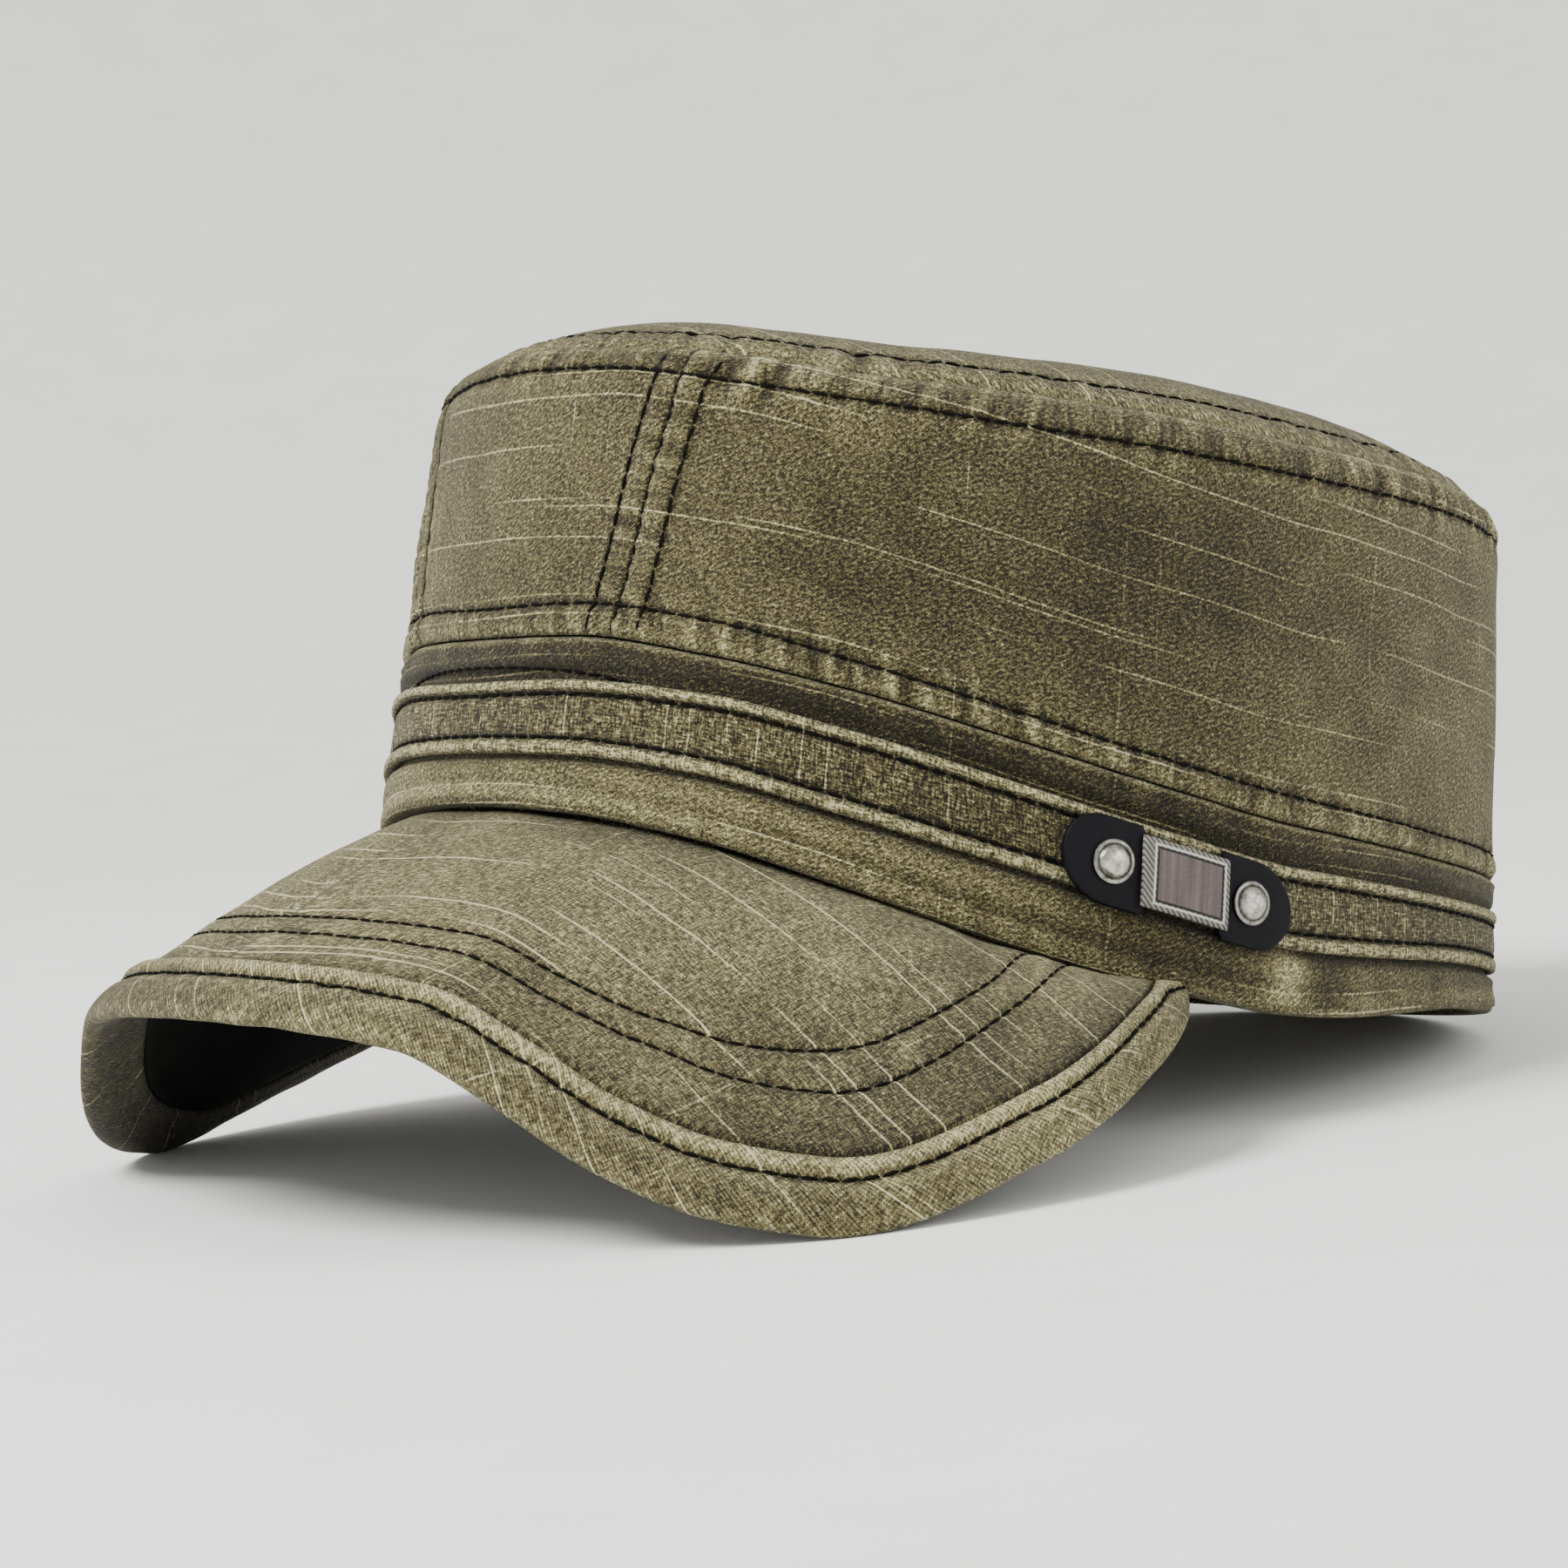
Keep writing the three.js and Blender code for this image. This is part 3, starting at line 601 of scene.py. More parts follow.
def headband_section(angle):
    """Heights, outward moves, and marks of wear and painted shading of the headband's closed section."""
    angle = angle.reshape(-1)
    side = np.abs(angle)
    u = arc(angle)
    foot = level(FOOT, angle)
    band = level(BAND_LOW, angle) - band_edge / 2
    top = level(BAND_TOP, angle) - band_edge / 2 - gap
    back = -band_recess - headband_thickness
    rows = []

    def put(height, out, wear_and_shading):
        rows.append([np.broadcast_to(value, angle.shape) for value in (height, out, wear_and_shading)])

    put(foot, back + 0.4, -0.6)
    for turn in np.radians((-75, -50, -25, 0)):
        put(
            foot + foot_roll * 0.5 * (1 + math.sin(turn)),
            headband_puff - foot_roll * 0.5 * (1 - math.cos(turn)),
            -0.1 + 0.5 * math.cos(turn * 1.4) + 0.3 * crimp(u, 61, 3.5, 9.0),
        )
    for share in np.linspace(0.0, 1.0, 22)[1:]:
        height = foot + foot_roll * 0.5 + (band - gap - foot - foot_roll * 0.5) * share
        up, down = height - foot, band - height
        waves = crimp(u + 0.5 * up, 62, 7.0, 20.0) * np.sin(math.pi * share)
        crimps = crimp(u, 61, 3.5, 9.0) * near(up - 2.0, 2.6)
        hollow = near(up - 4.2, 1.3)
        tuck = (band_recess + headband_puff) * step(0.9 - down, 0.4)
        out = headband_puff + 0.35 * near(down - 4.5, 3.0) - 0.35 * hollow - tuck
        # Painted light and shade: the roll is paler as wear and the hollow above it darker as painted
        # shade. The cloth is paler toward the front, and a painted shadow lies next to the peak's end
        # round 76 degrees. The fold carries a painted highlight with a painted shadow just behind it, and
        # a painted shadow lies just under the hat band.
        wear_and_shading = 0.5 * near(up - 2.6, 1.2) - 0.5 * hollow + 0.25 * crimps + 0.25 * waves
        wear_and_shading = wear_and_shading + 0.7 * near(side - 8, 42) - 0.9 * near(side - 76, 11)
        wear_and_shading = wear_and_shading + 2.0 * near(side - fold_angle, 2.3) - 1.2 * near(side - fold_angle - 5, 2.6)
        out = out + 0.16 * waves + 0.14 * crimps + 0.45 * near(side - fold_angle, 3.0)
        put(height, out, wear_and_shading - 1.5 * near(down, 1.7) + 0.3 * near(down - 4, 2.5))
    put(band + 1.0, -band_recess, -0.6)
    put(top, -band_recess, -0.6)
    put(top, back, -0.3)
    for share in np.linspace(0, 1, 9)[1:-1]:
        put(top + (foot - top) * share, back + 0.15 * np.sin(math.pi * share), -0.3)
    put(foot, back, -0.3)
    put(foot, back + 0.4, -0.6)
    return np.stack(rows, 1)


height, out, wear_and_shading = headband_section(angle)
made["headband"] = ring_piece("rolled_headband", angle, height, out, wear_and_shading)


# %% [markdown]
# ## The peak
#
# The peak is a stiff board between two layers of cloth, bent down at both sides. Its
# upper cloth carries two rows of thread that follow the edge, run toward the sides
# and end under the headband. The lower cloth is black.


# %% Shape of the peak
reach_curve, drop_curve = curve(peak_rows, REACH), curve(peak_rows, DROP)


tuck_start, tuck_rise, tuck_thinning = 66.0, 3.4, 0.55


def tucked(angle):
    """0 along the peak and 1 at its two ends, which are sewn in under the headband."""
    share = np.clip((np.abs(angle) - tuck_start) / (peak_end_angle - tuck_start), 0, 1)
    return share * share * (3 - 2 * share)


def peak_point(angle, across):
    """Middle of the peak's thickness, across 0 at its root and 1 at its edge."""
    angle, across = np.broadcast_arrays(np.asarray(angle, float), np.asarray(across, float))
    root_out = -band_recess - headband_thickness
    root = wall(angle, level(FOOT, angle) - gap - board_half, root_out)
    turn = np.radians(angle)
    plan = np.stack((np.sin(turn) / head_width, -np.cos(turn) / head_length), -1)
    plan /= np.linalg.norm(plan, axis=-1, keepdims=True)
    distance = (reach_curve(angle) * peak_reach - root_out) * across
    swell = peak_side_swell * np.sin(turn) ** 2 + peak_crown
    bow = swell * drop_curve(angle) * 27 / 4 * across * (1 - across) ** 2
    height = root[..., 2] - drop_curve(angle) * peak_drop * across + bow
    height = height + tuck_rise * tucked(angle)
    return np.stack((
        root[..., 0] + plan[..., 0] * distance,
        root[..., 1] + plan[..., 1] * distance,
        height,
    ), -1)


def peak_normal(angle, across):
    """Direction square to the peak's skin, upwards."""
    small = 0.01
    along = peak_point(angle + small, across) - peak_point(angle - small, across)
    outward = peak_point(angle, across + small) - peak_point(angle, across - small)
    normal = np.cross(along, outward)
    normal /= np.linalg.norm(normal, axis=-1, keepdims=True)
    return np.where(normal[..., 2:] < 0, -normal, normal)


def peak_skin(angle, across, above):
    above = np.asarray(above) * (1 - tuck_thinning * tucked(angle))
    return peak_point(angle, across) + peak_normal(angle, across) * above[..., None]


def peak_length(angle):
    return np.linalg.norm(peak_point(angle, 1.0) - peak_point(angle, 0.0), axis=-1)


def binding_reach(angle):
    """Width of the binding, less where the peak is short."""
    return np.minimum(binding_width, peak_length(angle) * 0.75)


def binding_start(angle):
    return 1 - binding_reach(angle) / peak_length(angle)


outer_row, inner_row = curve(outer_peak_row, 1), curve(inner_peak_row, 1)


def peak_relief(angle, across):
    """How far the peak's upper cloth stands out, and its wear and painted shading."""
    length = peak_length(angle)
    inward = (1 - across) * length
    u = arc(angle) * 1.25
    start = inward - binding_reach(angle)
    grooves = near(inward - outer_row(angle), 0.55) + near(inward - inner_row(angle), 0.55)
    between = near(inward - (outer_row(angle) + inner_row(angle)) / 2, 3.0)
    crimps = crimp(u, 71, 5.0, 15.0) * between
    soft = billow(u, inward, 40, 72)
    fine = billow(u, inward, 13, 73)
    out = -0.32 * grooves + 0.10 * crimps + 0.16 * soft + 0.05 * fine - 0.8 * near(start, 0.8)
    # Painted shade in the stitch grooves, with some dye left in them, and a painted shadow just inside
    # the binding.
    wear_and_shading = 0.25 * crimps - 0.9 * grooves + 0.22 * soft + 0.14 * fine - 0.9 * near(start - 0.3, 0.9)
    # Paler along its middle and at the front, darker toward the wearer's left corner, and a broader
    # painted shadow inside the binding.
    worn_and_shaded = 0.45 * near(across - 0.30, 0.30) + 0.6 * near(angle, 26) * step(across - 0.45, 0.1)
    worn_and_shaded = worn_and_shaded - 0.9 * near(angle - 60, 11) * step(across - 0.45, 0.15) - 0.4 * near(start - 1.5, 3.5)
    # A painted shadow at the root, where the peak goes in under the headband.
    return out, wear_and_shading + worn_and_shaded - 0.5 * near(across, 0.06)


swing, swing_round = 0.36, 15.0  # the cloth's threads run back toward both sides


def lateral(points):
    """Length sideways over the bent peak, and depth along threads that swing back."""
    x, y, z = points[..., 0], points[..., 1], points[..., 2]
    side = np.hypot(x, 0.7 * (z.max() - z))
    return np.stack((np.sign(x) * side, y - swing * np.hypot(x, swing_round)), -1)


sewn_gap = 0.03  # the layers all but touch the binding, so that no light comes through


def peak_sheet(name, above, relief_size, rows, columns, thickness, up):
    """Layer of the peak's cloth at a height over its middle."""
    angle = np.linspace(-peak_end_angle, peak_end_angle, columns)[None, :]
    end = binding_start(angle) - sewn_gap / peak_length(angle)
    share = np.linspace(1, 0, rows)[:, None]
    if not up:
        share = share[::-1]
    across = end * share
    out, wear_and_shading = peak_relief(angle, across)
    points = peak_skin(angle, across, above + relief_size * out)
    return cloth(name, points, lateral(points), wear_and_shading if up else 0 * wear_and_shading, thickness=thickness)


made["peak"] = peak_sheet("peak_cloth", board_half, 1.0, 84, 300, 1.6, True)
made["under"] = peak_sheet("peak_lining_cloth", -board_half, 0.0, 24, 120, 1.4, False)

# %% [markdown]
# ## The binding
#
# A bias strip of the same cloth is rolled round the peak's edge over a soft core. Its
# inner edge is a fold that stands up as a pale rounded ridge, held by a row of thread
# just outside it. Past the row the binding swells and curves round the nose.

# %% Binding
# Section from the inner edge over the top, round the nose and back below: share of
# binding_width, share of binding_half, share of binding_ridge, and wear and shading.
# The last column gives a pale worn ridge, a painted shadow line beside it and painted
# shade on the underside.
binding_rows = (
    (0.000, 0.70, 0.0, -0.9), (0.010, 0.92, 0.45, -0.3), (0.045, 1.00, 0.85, 0.45),
    (0.110, 1.00, 1.15, 1.25), (0.180, 1.00, 1.15, 1.25), (0.245, 0.98, 0.85, 0.75),
    (0.290, 0.94, 0.35, 0.1), (0.325, 0.88, 0.0, -1.3), (0.360, 0.90, 0.05, -0.9),
    (0.410, 0.98, 0.0, 0.15), (0.480, 1.03, 0.0, 0.3), (0.560, 1.03, 0.0, 0.1),
    (0.640, 0.98, 0.0, -0.1), (0.720, 0.90, 0.0, -0.2), (0.800, 0.78, 0.0, -0.2),
    (0.870, 0.62, 0.0, -0.1), (0.930, 0.42, 0.0, 0.1), (0.975, 0.16, 0.0, 0.2),
    (1.000, -0.10, 0.0, 0.2), (0.985, -0.36, 0.0, 0.0), (0.935, -0.60, 0.0, -0.3),
    (0.840, -0.82, 0.0, -0.7), (0.700, -0.95, 0.0, -0.9), (0.540, -1.00, 0.0, -1.0),
    (0.440, -0.98, 0.0, -1.1), (0.340, -0.90, 0.0, -1.3), (0.240, -0.98, 0.0, -1.1),
    (0.120, -1.00, 0.0, -1.2), (0.030, -0.94, 0.0, -1.3), (0.000, -0.70, 0.0, -1.4),
    (0.000, 0.00, 0.0, -0.9), (0.000, 0.70, 0.0, -0.9),
)


def binding_surface(angle, along, up, ridge, size=1.0):
    """Points of the binding, with its puckers."""
    start = binding_start(angle)
    across = start + (1 - start) * along
    u = arc(angle) * 1.45
    crimps = crimp(u + 14 * along, 81, 4.0, 11.0) * near(along - 0.36, 0.22)
    folds = crimp(u + 26 * along, 82, 9.0, 26.0) * step(along - 0.45, 0.08)
    rough = 0.16 * crimps * (1 + ridge) + 0.10 * folds
    above = up * binding_half + ridge * binding_ridge + np.sign(up) * rough * size
    # Paler at both ends and near the front. A painted shade darkens the binding round 42 degrees on the
    # wearer's right.
    worn_and_shaded = 0.8 * near(np.abs(angle) - 64, 12) + 0.35 * near(angle - 15, 25) - 1.2 * near(angle + 42, 22)
    return peak_skin(angle, across, above), 0.35 * crimps + 0.22 * folds + worn_and_shaded


columns = np.linspace(-peak_end_angle, peak_end_angle, 260)[None, :]
table = np.array(binding_rows)
along, up, ridge, tone = (table[:, i][:, None] for i in range(4))
points, rough = binding_surface(columns, along, up, ridge)
around = np.cumsum(np.concatenate(((0,), np.hypot(
    np.diff(table[:, 0]) * binding_width, np.diff(table[:, 1]) * binding_half,
))))[:, None]
edge_row, middle_column = 12, 130
run = np.linalg.norm(np.diff(points[edge_row], axis=0), axis=1)
run = np.cumsum(np.concatenate(((0,), run)))[None, :]
uv = np.stack(np.broadcast_arrays(run - run[0, middle_column], around), -1)
points[-1], rough[-1] = points[0], rough[0]
made["binding"] = cloth(
    "peak_edge_binding", points[::-1], uv[::-1], (tone + rough)[::-1], join=True, caps=True,
)

# %% [markdown]
# ## The strap, its label and its rivets
#
# Two rounded leather tabs are the ends of one strap that is narrow in its middle,
# where a woven label is wrapped round it. Two domed rivets hold it to the band. The
# strap and label are slabs with a rounded section, bent round the wall. A rivet is a
# disc whose upper face is extruded and scaled, ring by ring, into a rim and a dome.

# %% Slabs bent round the wall
arc_degree = head_length / 2 * math.radians(1)
strap_low = band_face + ridge_rise + gap
strap_high = strap_low + strap_thickness
label_low = strap_high + gap
strap_end, strap_round = strap_length / 2, strap_width / 2
edge_power, face_power = 0.30, 0.45  # the lower, the squarer the slab's section
end_taper = 0.5  # length over which a slab thins toward its ends
waist_length, waist_half = label_length / 2 - 0.2, 4.9


def strap_point(along, across, out):
    """Point over the hat band, from the strap's middle."""
    angle = strap_angle + along / arc_degree
    middle = (level(BAND_TOP, angle) + level(BAND_LOW, angle)) / 2 - strap_drop
    return wall(angle, middle + across, out)


def slab(name, stations, half_width, low, high, swell):
    """Closed slab with a rounded section along the given stations."""
    turn = np.radians(np.linspace(0, 360, 37))[:, None]
    along = np.asarray(stations, float)[None, :]
    wide = -np.sign(np.cos(turn)) * np.abs(np.cos(turn)) ** edge_power
    deep = np.sign(np.sin(turn)) * np.abs(np.sin(turn)) ** face_power
    half = np.array([half_width(value) for value in stations])[None, :]
    tip = np.clip((np.abs(along).max() - np.abs(along)) / end_taper, 0, 1)
    thick = (high - low) / 2 * (0.75 + 0.25 * np.sqrt(tip * (2 - tip)))
    out = (low + high) / 2 + deep * thick + swell * (1 - wide ** 2) * (deep > 0)
    across = wide * half
    uv = np.stack(np.broadcast_arrays(along, across), -1)
    wear_and_shading = near(np.abs(across) - half, 0.9) + near(np.abs(along).max() - np.abs(along), 0.9)
    return cloth(name, strap_point(along, across, out), uv, wear_and_shading, join=True, caps=True)


def strap_half_width(along):
    if abs(along) < waist_length:
        return waist_half
    past = max(abs(along) - (strap_end - strap_round), 0)
    return math.sqrt(max(strap_round ** 2 - past ** 2, 0.4 ** 2))


round_end = [strap_end - strap_round * (1 - math.cos(math.radians(a))) for a in range(0, 91, 6)]
tab = [waist_length + 0.02, waist_length + 0.4, waist_length + 2, waist_length + 4] + round_end[::-1]
middle = list(np.linspace(-waist_length, waist_length, 15))
stations = sorted(set([-value for value in tab] + middle + tab))
made["strap"] = slab("leather_strap", stations, strap_half_width, strap_low, strap_high, 0.0)
made["label"] = slab(
    "woven_label", np.linspace(-label_length / 2, label_length / 2, 41),
    lambda along: label_width / 2, label_low - 0.25, label_low + label_thickness - 0.1, 0.1,
)

# %% Rivets
# Rings of a rivet from its foot to its middle: radius and height in millimetres.
rivet_rings = (
    (3.35, 0.0), (3.50, 0.15), (3.50, 0.35), (3.30, 0.52), (3.00, 0.56), (2.80, 0.50),
    (2.62, 0.62), (2.35, 0.95), (1.95, 1.22), (1.45, 1.40), (0.90, 1.49), (0.35, 1.52),
)

# Dirt left by handling, by distance from the middle: most in the ring between rim and dome.
tarnish_radii = (0.0, 1.4, 2.3, 2.7, 2.95, 3.2, 3.5)
tarnish_shares = (0.0, 0.05, 0.25, 1.0, 0.7, 0.1, 0.9)


def rivet(name, side):
    """Rivet head raised ring by ring from a disc, then set on the strap."""
    bpy.ops.object.select_all(action="DESELECT")
    bpy.ops.mesh.primitive_circle_add(
        vertices=48, radius=rivet_rings[0][0] * 0.001, fill_type="NGON",
    )
    piece = bpy.context.object
    piece.name = piece.data.name = name
    bpy.ops.object.mode_set(mode="EDIT")
    bpy.ops.mesh.select_all(action="SELECT")
    for (radius, height), (wider, higher) in zip(rivet_rings, rivet_rings[1:]):
        rise = (0, 0, (higher - height) * 0.001)
        bpy.ops.mesh.extrude_region_move(TRANSFORM_OT_translate={"value": rise})
        bpy.ops.transform.resize(value=(wider / radius, wider / radius, 1))
    bpy.ops.mesh.select_all(action="SELECT")
    bpy.ops.mesh.normals_make_consistent(inside=False)
    bpy.ops.object.mode_set(mode="OBJECT")
    rings = [1000 * math.hypot(vertex.co.x, vertex.co.y) for vertex in piece.data.vertices]
    along = side * rivet_spacing / 2
    seat = strap_point(along, 0.0, strap_high + 0.05)
    up = strap_point(along, 1.0, strap_high) - strap_point(along, -1.0, strap_high)
    ahead = strap_point(along + 1, 0.0, strap_high) - strap_point(along - 1, 0.0, strap_high)
    frame_points = to_world(np.stack((seat, seat + ahead, seat + up)))
    x_axis = Vector(frame_points[1] - frame_points[0]).normalized()
    z_axis = x_axis.cross(Vector(frame_points[2] - frame_points[0])).normalized()
    y_axis = z_axis.cross(x_axis)
    place = Matrix((x_axis, y_axis, z_axis)).transposed().to_4x4()
    place.translation = Vector(frame_points[0])
    piece.data.transform(place)
    piece.location = (0, 0, 0)
    select_only(piece)
    bpy.ops.object.shade_smooth_by_angle(angle=math.radians(40))
    wear = np.interp(rings, tarnish_radii, tarnish_shares)
    piece.data.attributes.new("tarnish", "FLOAT", "POINT").data.foreach_set("value", wear)
    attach(piece, "root")
    print(f"{name}: {len(piece.data.polygons)} faces")
    return piece


made["rivet_front"] = rivet("front_rivet_head", -1)
made["rivet_rear"] = rivet("rear_rivet_head", 1)

# %% [markdown]
# ## The threads
#
# Every seam is topstitched in thread that stayed nearly black when the cloth washed
# out. A single stitch is shaped once from a small sphere. Its copies are laid end to
# end along each row as one joined mesh, each turned along the row and half sunk.

# %% One stitch and its rows
stitch_pitch, stitch_length, stitch_half = 2.9, 2.7, 0.31
uneven = 0.12  # how far a stitch strays from its place
sunk, bowed = 0.5, 0.35  # shares of a thread's half width
bpy.ops.object.select_all(action="DESELECT")
bpy.ops.mesh.primitive_uv_sphere_add(segments=6, ring_count=5, radius=1)
pattern = bpy.context.object
bpy.ops.object.mode_set(mode="EDIT")
bpy.ops.mesh.select_all(action="SELECT")
bpy.ops.mesh.quads_convert_to_tris()
bpy.ops.object.mode_set(mode="OBJECT")
stitch_points = np.array([tuple(vertex.co) for vertex in pattern.data.vertices])
stitch_faces = np.array([tuple(face.vertices) for face in pattern.data.polygons])
bpy.data.objects.remove(pattern)


def stitch_row(points, normals, seed, half=stitch_half, pitch=stitch_pitch, long=stitch_length):
    """Points of all stitches along one line."""
    rng = np.random.default_rng(seed)
    run = np.concatenate(((0,), np.cumsum(np.linalg.norm(np.diff(points, axis=0), axis=1))))
    starts = np.arange(0.2, run[-1] - long, pitch)
    starts = starts + rng.uniform(-uneven, uneven, len(starts))
    first = np.stack([np.interp(starts, run, points[:, i]) for i in range(3)], 1)
    last = np.stack([np.interp(starts + long, run, points[:, i]) for i in range(3)], 1)
    normal = np.stack([np.interp(starts, run, normals[:, i]) for i in range(3)], 1)
    normal /= np.linalg.norm(normal, axis=1, keepdims=True)
    along = (last - first) / 2
    side = np.cross(along, normal)
    side /= np.linalg.norm(side, axis=1, keepdims=True)
    middle = (first + last) / 2 + normal * half * sunk
    along = along + side * rng.uniform(-uneven, uneven, (len(starts), 1))
    x, y, z = stitch_points.T
    bow = (1 - z * z) * half * bowed
    return (
        middle[:, None, :] + along[:, None, :] * z[None, :, None]
        + side[:, None, :] * half * x[None, :, None]
        + normal[:, None, :] * (half * 0.9 * y + bow)[None, :, None]
    ).reshape(-1, 3)


def thread(name, rows):
    """Joined mesh of all stitches of some rows."""
    points = np.concatenate(rows)
    count = len(points) // len(stitch_points)
    shift = np.arange(count)[:, None, None] * len(stitch_points)
    faces = (stitch_faces[None] + shift).reshape(-1, 3)
    mesh = bpy.data.meshes.new(name)
    mesh.from_pydata(to_world(points).tolist(), [], faces.tolist())
    mesh.update()
    piece = bpy.data.objects.new(name, mesh)
    bpy.context.scene.collection.objects.link(piece)
    select_only(piece)
    bpy.ops.object.mode_set(mode="EDIT")
    bpy.ops.mesh.select_all(action="SELECT")
    bpy.ops.mesh.normals_make_consistent(inside=False)
    bpy.ops.object.mode_set(mode="OBJECT")
    bpy.ops.object.shade_smooth()
    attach(piece, "root")
    print(f"{name}: {count} stitches, {len(mesh.polygons)} triangles")
    return piece


def tall_row(angle, share, seed, **sizes):
    """Row on the tall panels."""
    out, _, height, _ = tall_relief(angle, share)
    points = wall(angle, height, out)
    normals = wall(angle, height, out + 1) - points
    tilt = np.clip((height - level(RIM, angle) + shoulder_depth) / shoulder_depth, 0, 1)
    normals[:, 2] += 1.6 * tilt ** 2
    return stitch_row(points, normals, seed, **sizes)


round_cap = np.linspace(-180, 180, 1441)
vertical = np.linspace(0.01, 0.995, 200)


def seam_angle(share, aside, sign):
    """Angle of a line beside the front seam."""
    return sign * angle_at(arc(front_seam(share)) + aside)


def hooked(share):
    """Rear row of the front seam, which swings back just under the rim."""
    return felled_half + 1.6 * near(share - 0.93, 0.05)


points, _ = top_skin(round_cap, np.full(round_cap.shape, 1 - top_row_inset / top_span))
rows = [stitch_row(points, np.tile((0.0, 0.0, 1.0), (len(points), 1)), 1)]
for seed, column in ((2, TOP_ROW), (3, UPPER_ROW)):
    rows.append(tall_row(round_cap, tall_share(round_cap, level(column, round_cap)), seed))
for seed, aside in ((4, -felled_half), (5, hooked(vertical))):
    rows.append(tall_row(seam_angle(vertical, aside, 1), vertical, seed))
jag = 0.25 * crimp(vertical * 60, 6, 2.5, 7.0)
short = vertical[vertical < 0.9]
rows.append(tall_row(
    seam_angle(short, 0.1 + jag[:len(short)], 1), short, 6, half=0.17, pitch=2.3, long=1.7,
))

front = np.linspace(-strip_row_end, strip_row_end, 300)
height = level(SEAM, front) - gap / 2 - strip_row_depth(front)
out, _ = strip_relief(front, height)
points = wall(front, height, out)
rows.append(stitch_row(points, wall(front, height, out + 1) - points, 7))
made["crown_thread"] = thread("crown_topstitching", rows)

rows = []
for number, height in enumerate((
    level(BAND_LOW, round_cap) - band_edge / 2 + low_ridge + 0.45,
    level(BAND_TOP, round_cap) + band_edge / 2 - top_ridge - 0.45,
)):
    out, _, _ = band_relief(round_cap, height)
    points = wall(round_cap, height, out)
    rows.append(stitch_row(points, wall(round_cap, height, out + 1) - points, 10 + number))
made["band_thread"] = thread("band_topstitching", rows)

rows = []
for number, (line, last_angle) in enumerate(((outer_row, 66.8), (inner_row, 62.2))):
    angle = np.linspace(-last_angle, last_angle, 900)
    across = 1 - line(angle) / peak_length(angle)
    out, _ = peak_relief(angle, across)
    points = peak_skin(angle, across, board_half + out)
    rows.append(stitch_row(points, peak_normal(angle, across), 20 + number, half=0.26))
angle = np.linspace(-peak_end_angle + 0.5, peak_end_angle - 0.5, 1200)
points, _ = binding_surface(angle, np.full(angle.shape, 0.33), 0.88, 0.0)
normal = peak_normal(angle, np.full(angle.shape, 0.9))
rows.append(stitch_row(points, normal, 22))
made["peak_thread"] = thread("peak_topstitching", rows)

rows = []
for seed, side in ((31, -1), (32, 1)):
    rows.append(tall_row(seam_angle(vertical, side * felled_half, -1), vertical, seed))
for seed, side in ((33, -1), (34, 1)):
    beside = np.full(vertical.shape, side * angle_at(arc(180) - felled_half))
    rows.append(tall_row(beside, vertical, seed))
made["olive_thread"] = thread("olive_topstitching", rows)

# %% [markdown]
# ## Materials
#
# Each material is a network of procedural nodes. Colours are given as hex values and
# turned to linear light by one function. One helper adds a node with its settings and
# links and gives its output, for every kind of node. Cloth patterns read the piece's UV
# map, which is in metres along the cloth.


# %% Colour and node helpers
def linear(hex_colour):
    """Linear colour from an sRGB hex value."""
    channels = [int(hex_colour[i:i + 2], 16) / 255 for i in (1, 3, 5)]
    return tuple(
        c / 12.92 if c <= 0.04045 else ((c + 0.055) / 1.055) ** 2.4 for c in channels
    ) + (1.0,)


def add_node(tree, kind, inputs=(), output=0, **settings):
    """Adds a node, sets its properties, sets or links its inputs, and gives one output."""
    node = tree.nodes.new("ShaderNode" + kind)
    for name, value in settings.items():
        setattr(node, name, value)
    for key, value in inputs.items() if isinstance(inputs, dict) else enumerate(inputs):
        if isinstance(value, bpy.types.NodeSocket):
            tree.links.new(value, node.inputs[key])
        else:
            node.inputs[key].default_value = value
    return node.outputs[output]


def new_material(name):
    """Material, its shader, and the function above bound to its network."""
    material = bpy.data.materials.new(name)
    material.use_nodes = True
    tree = material.node_tree
    print("material:", name)
    return material, tree.nodes["Principled BSDF"], functools.partial(add_node, tree)


def shade(colour_ramp, stops):
    """Sets the stops of a colour ramp: place and hex colour."""
    elements = colour_ramp.node.color_ramp.elements
    while len(elements) < len(stops):
        elements.new(0.5)
    for element, (place, colour) in zip(elements, stops):
        element.position = place
        element.color = linear(colour)


def connect(shader, colour, rough, bump):
    tree = shader.id_data
    for socket, target in ((colour, "Base Color"), (rough, "Roughness"), (bump, "Normal")):
        tree.links.new(socket, shader.inputs[target])


# %% [markdown]
# ### Washed cotton
#
# The cloth is a sturdy cotton twill, dyed in the piece and then enzyme-washed. Washing
# takes dye from each raised yarn, so the cloth is speckled. Its folds are made pale,
# partly as washing wear and partly as painted highlight. Its grooves and shaded parts
# are made dark as painted shade, with some dye left in the grooves. Some yarns are thick
# and stand out as long pale lines called slubs. One number holds all of that, and a
# colour ramp turns it to olive. The real yarns are about 0.3 mm apart, too fine to show
# in a render of the whole cap, so they are drawn 0.36 to 0.54 mm apart.

# %% Washed cotton
cotton_shades = (
    (0.0, "#0c0a03"), (0.26, "#332d16"), (0.46, "#565034"), (0.68, "#77724d"), (1.0, "#c2bc93"),
)


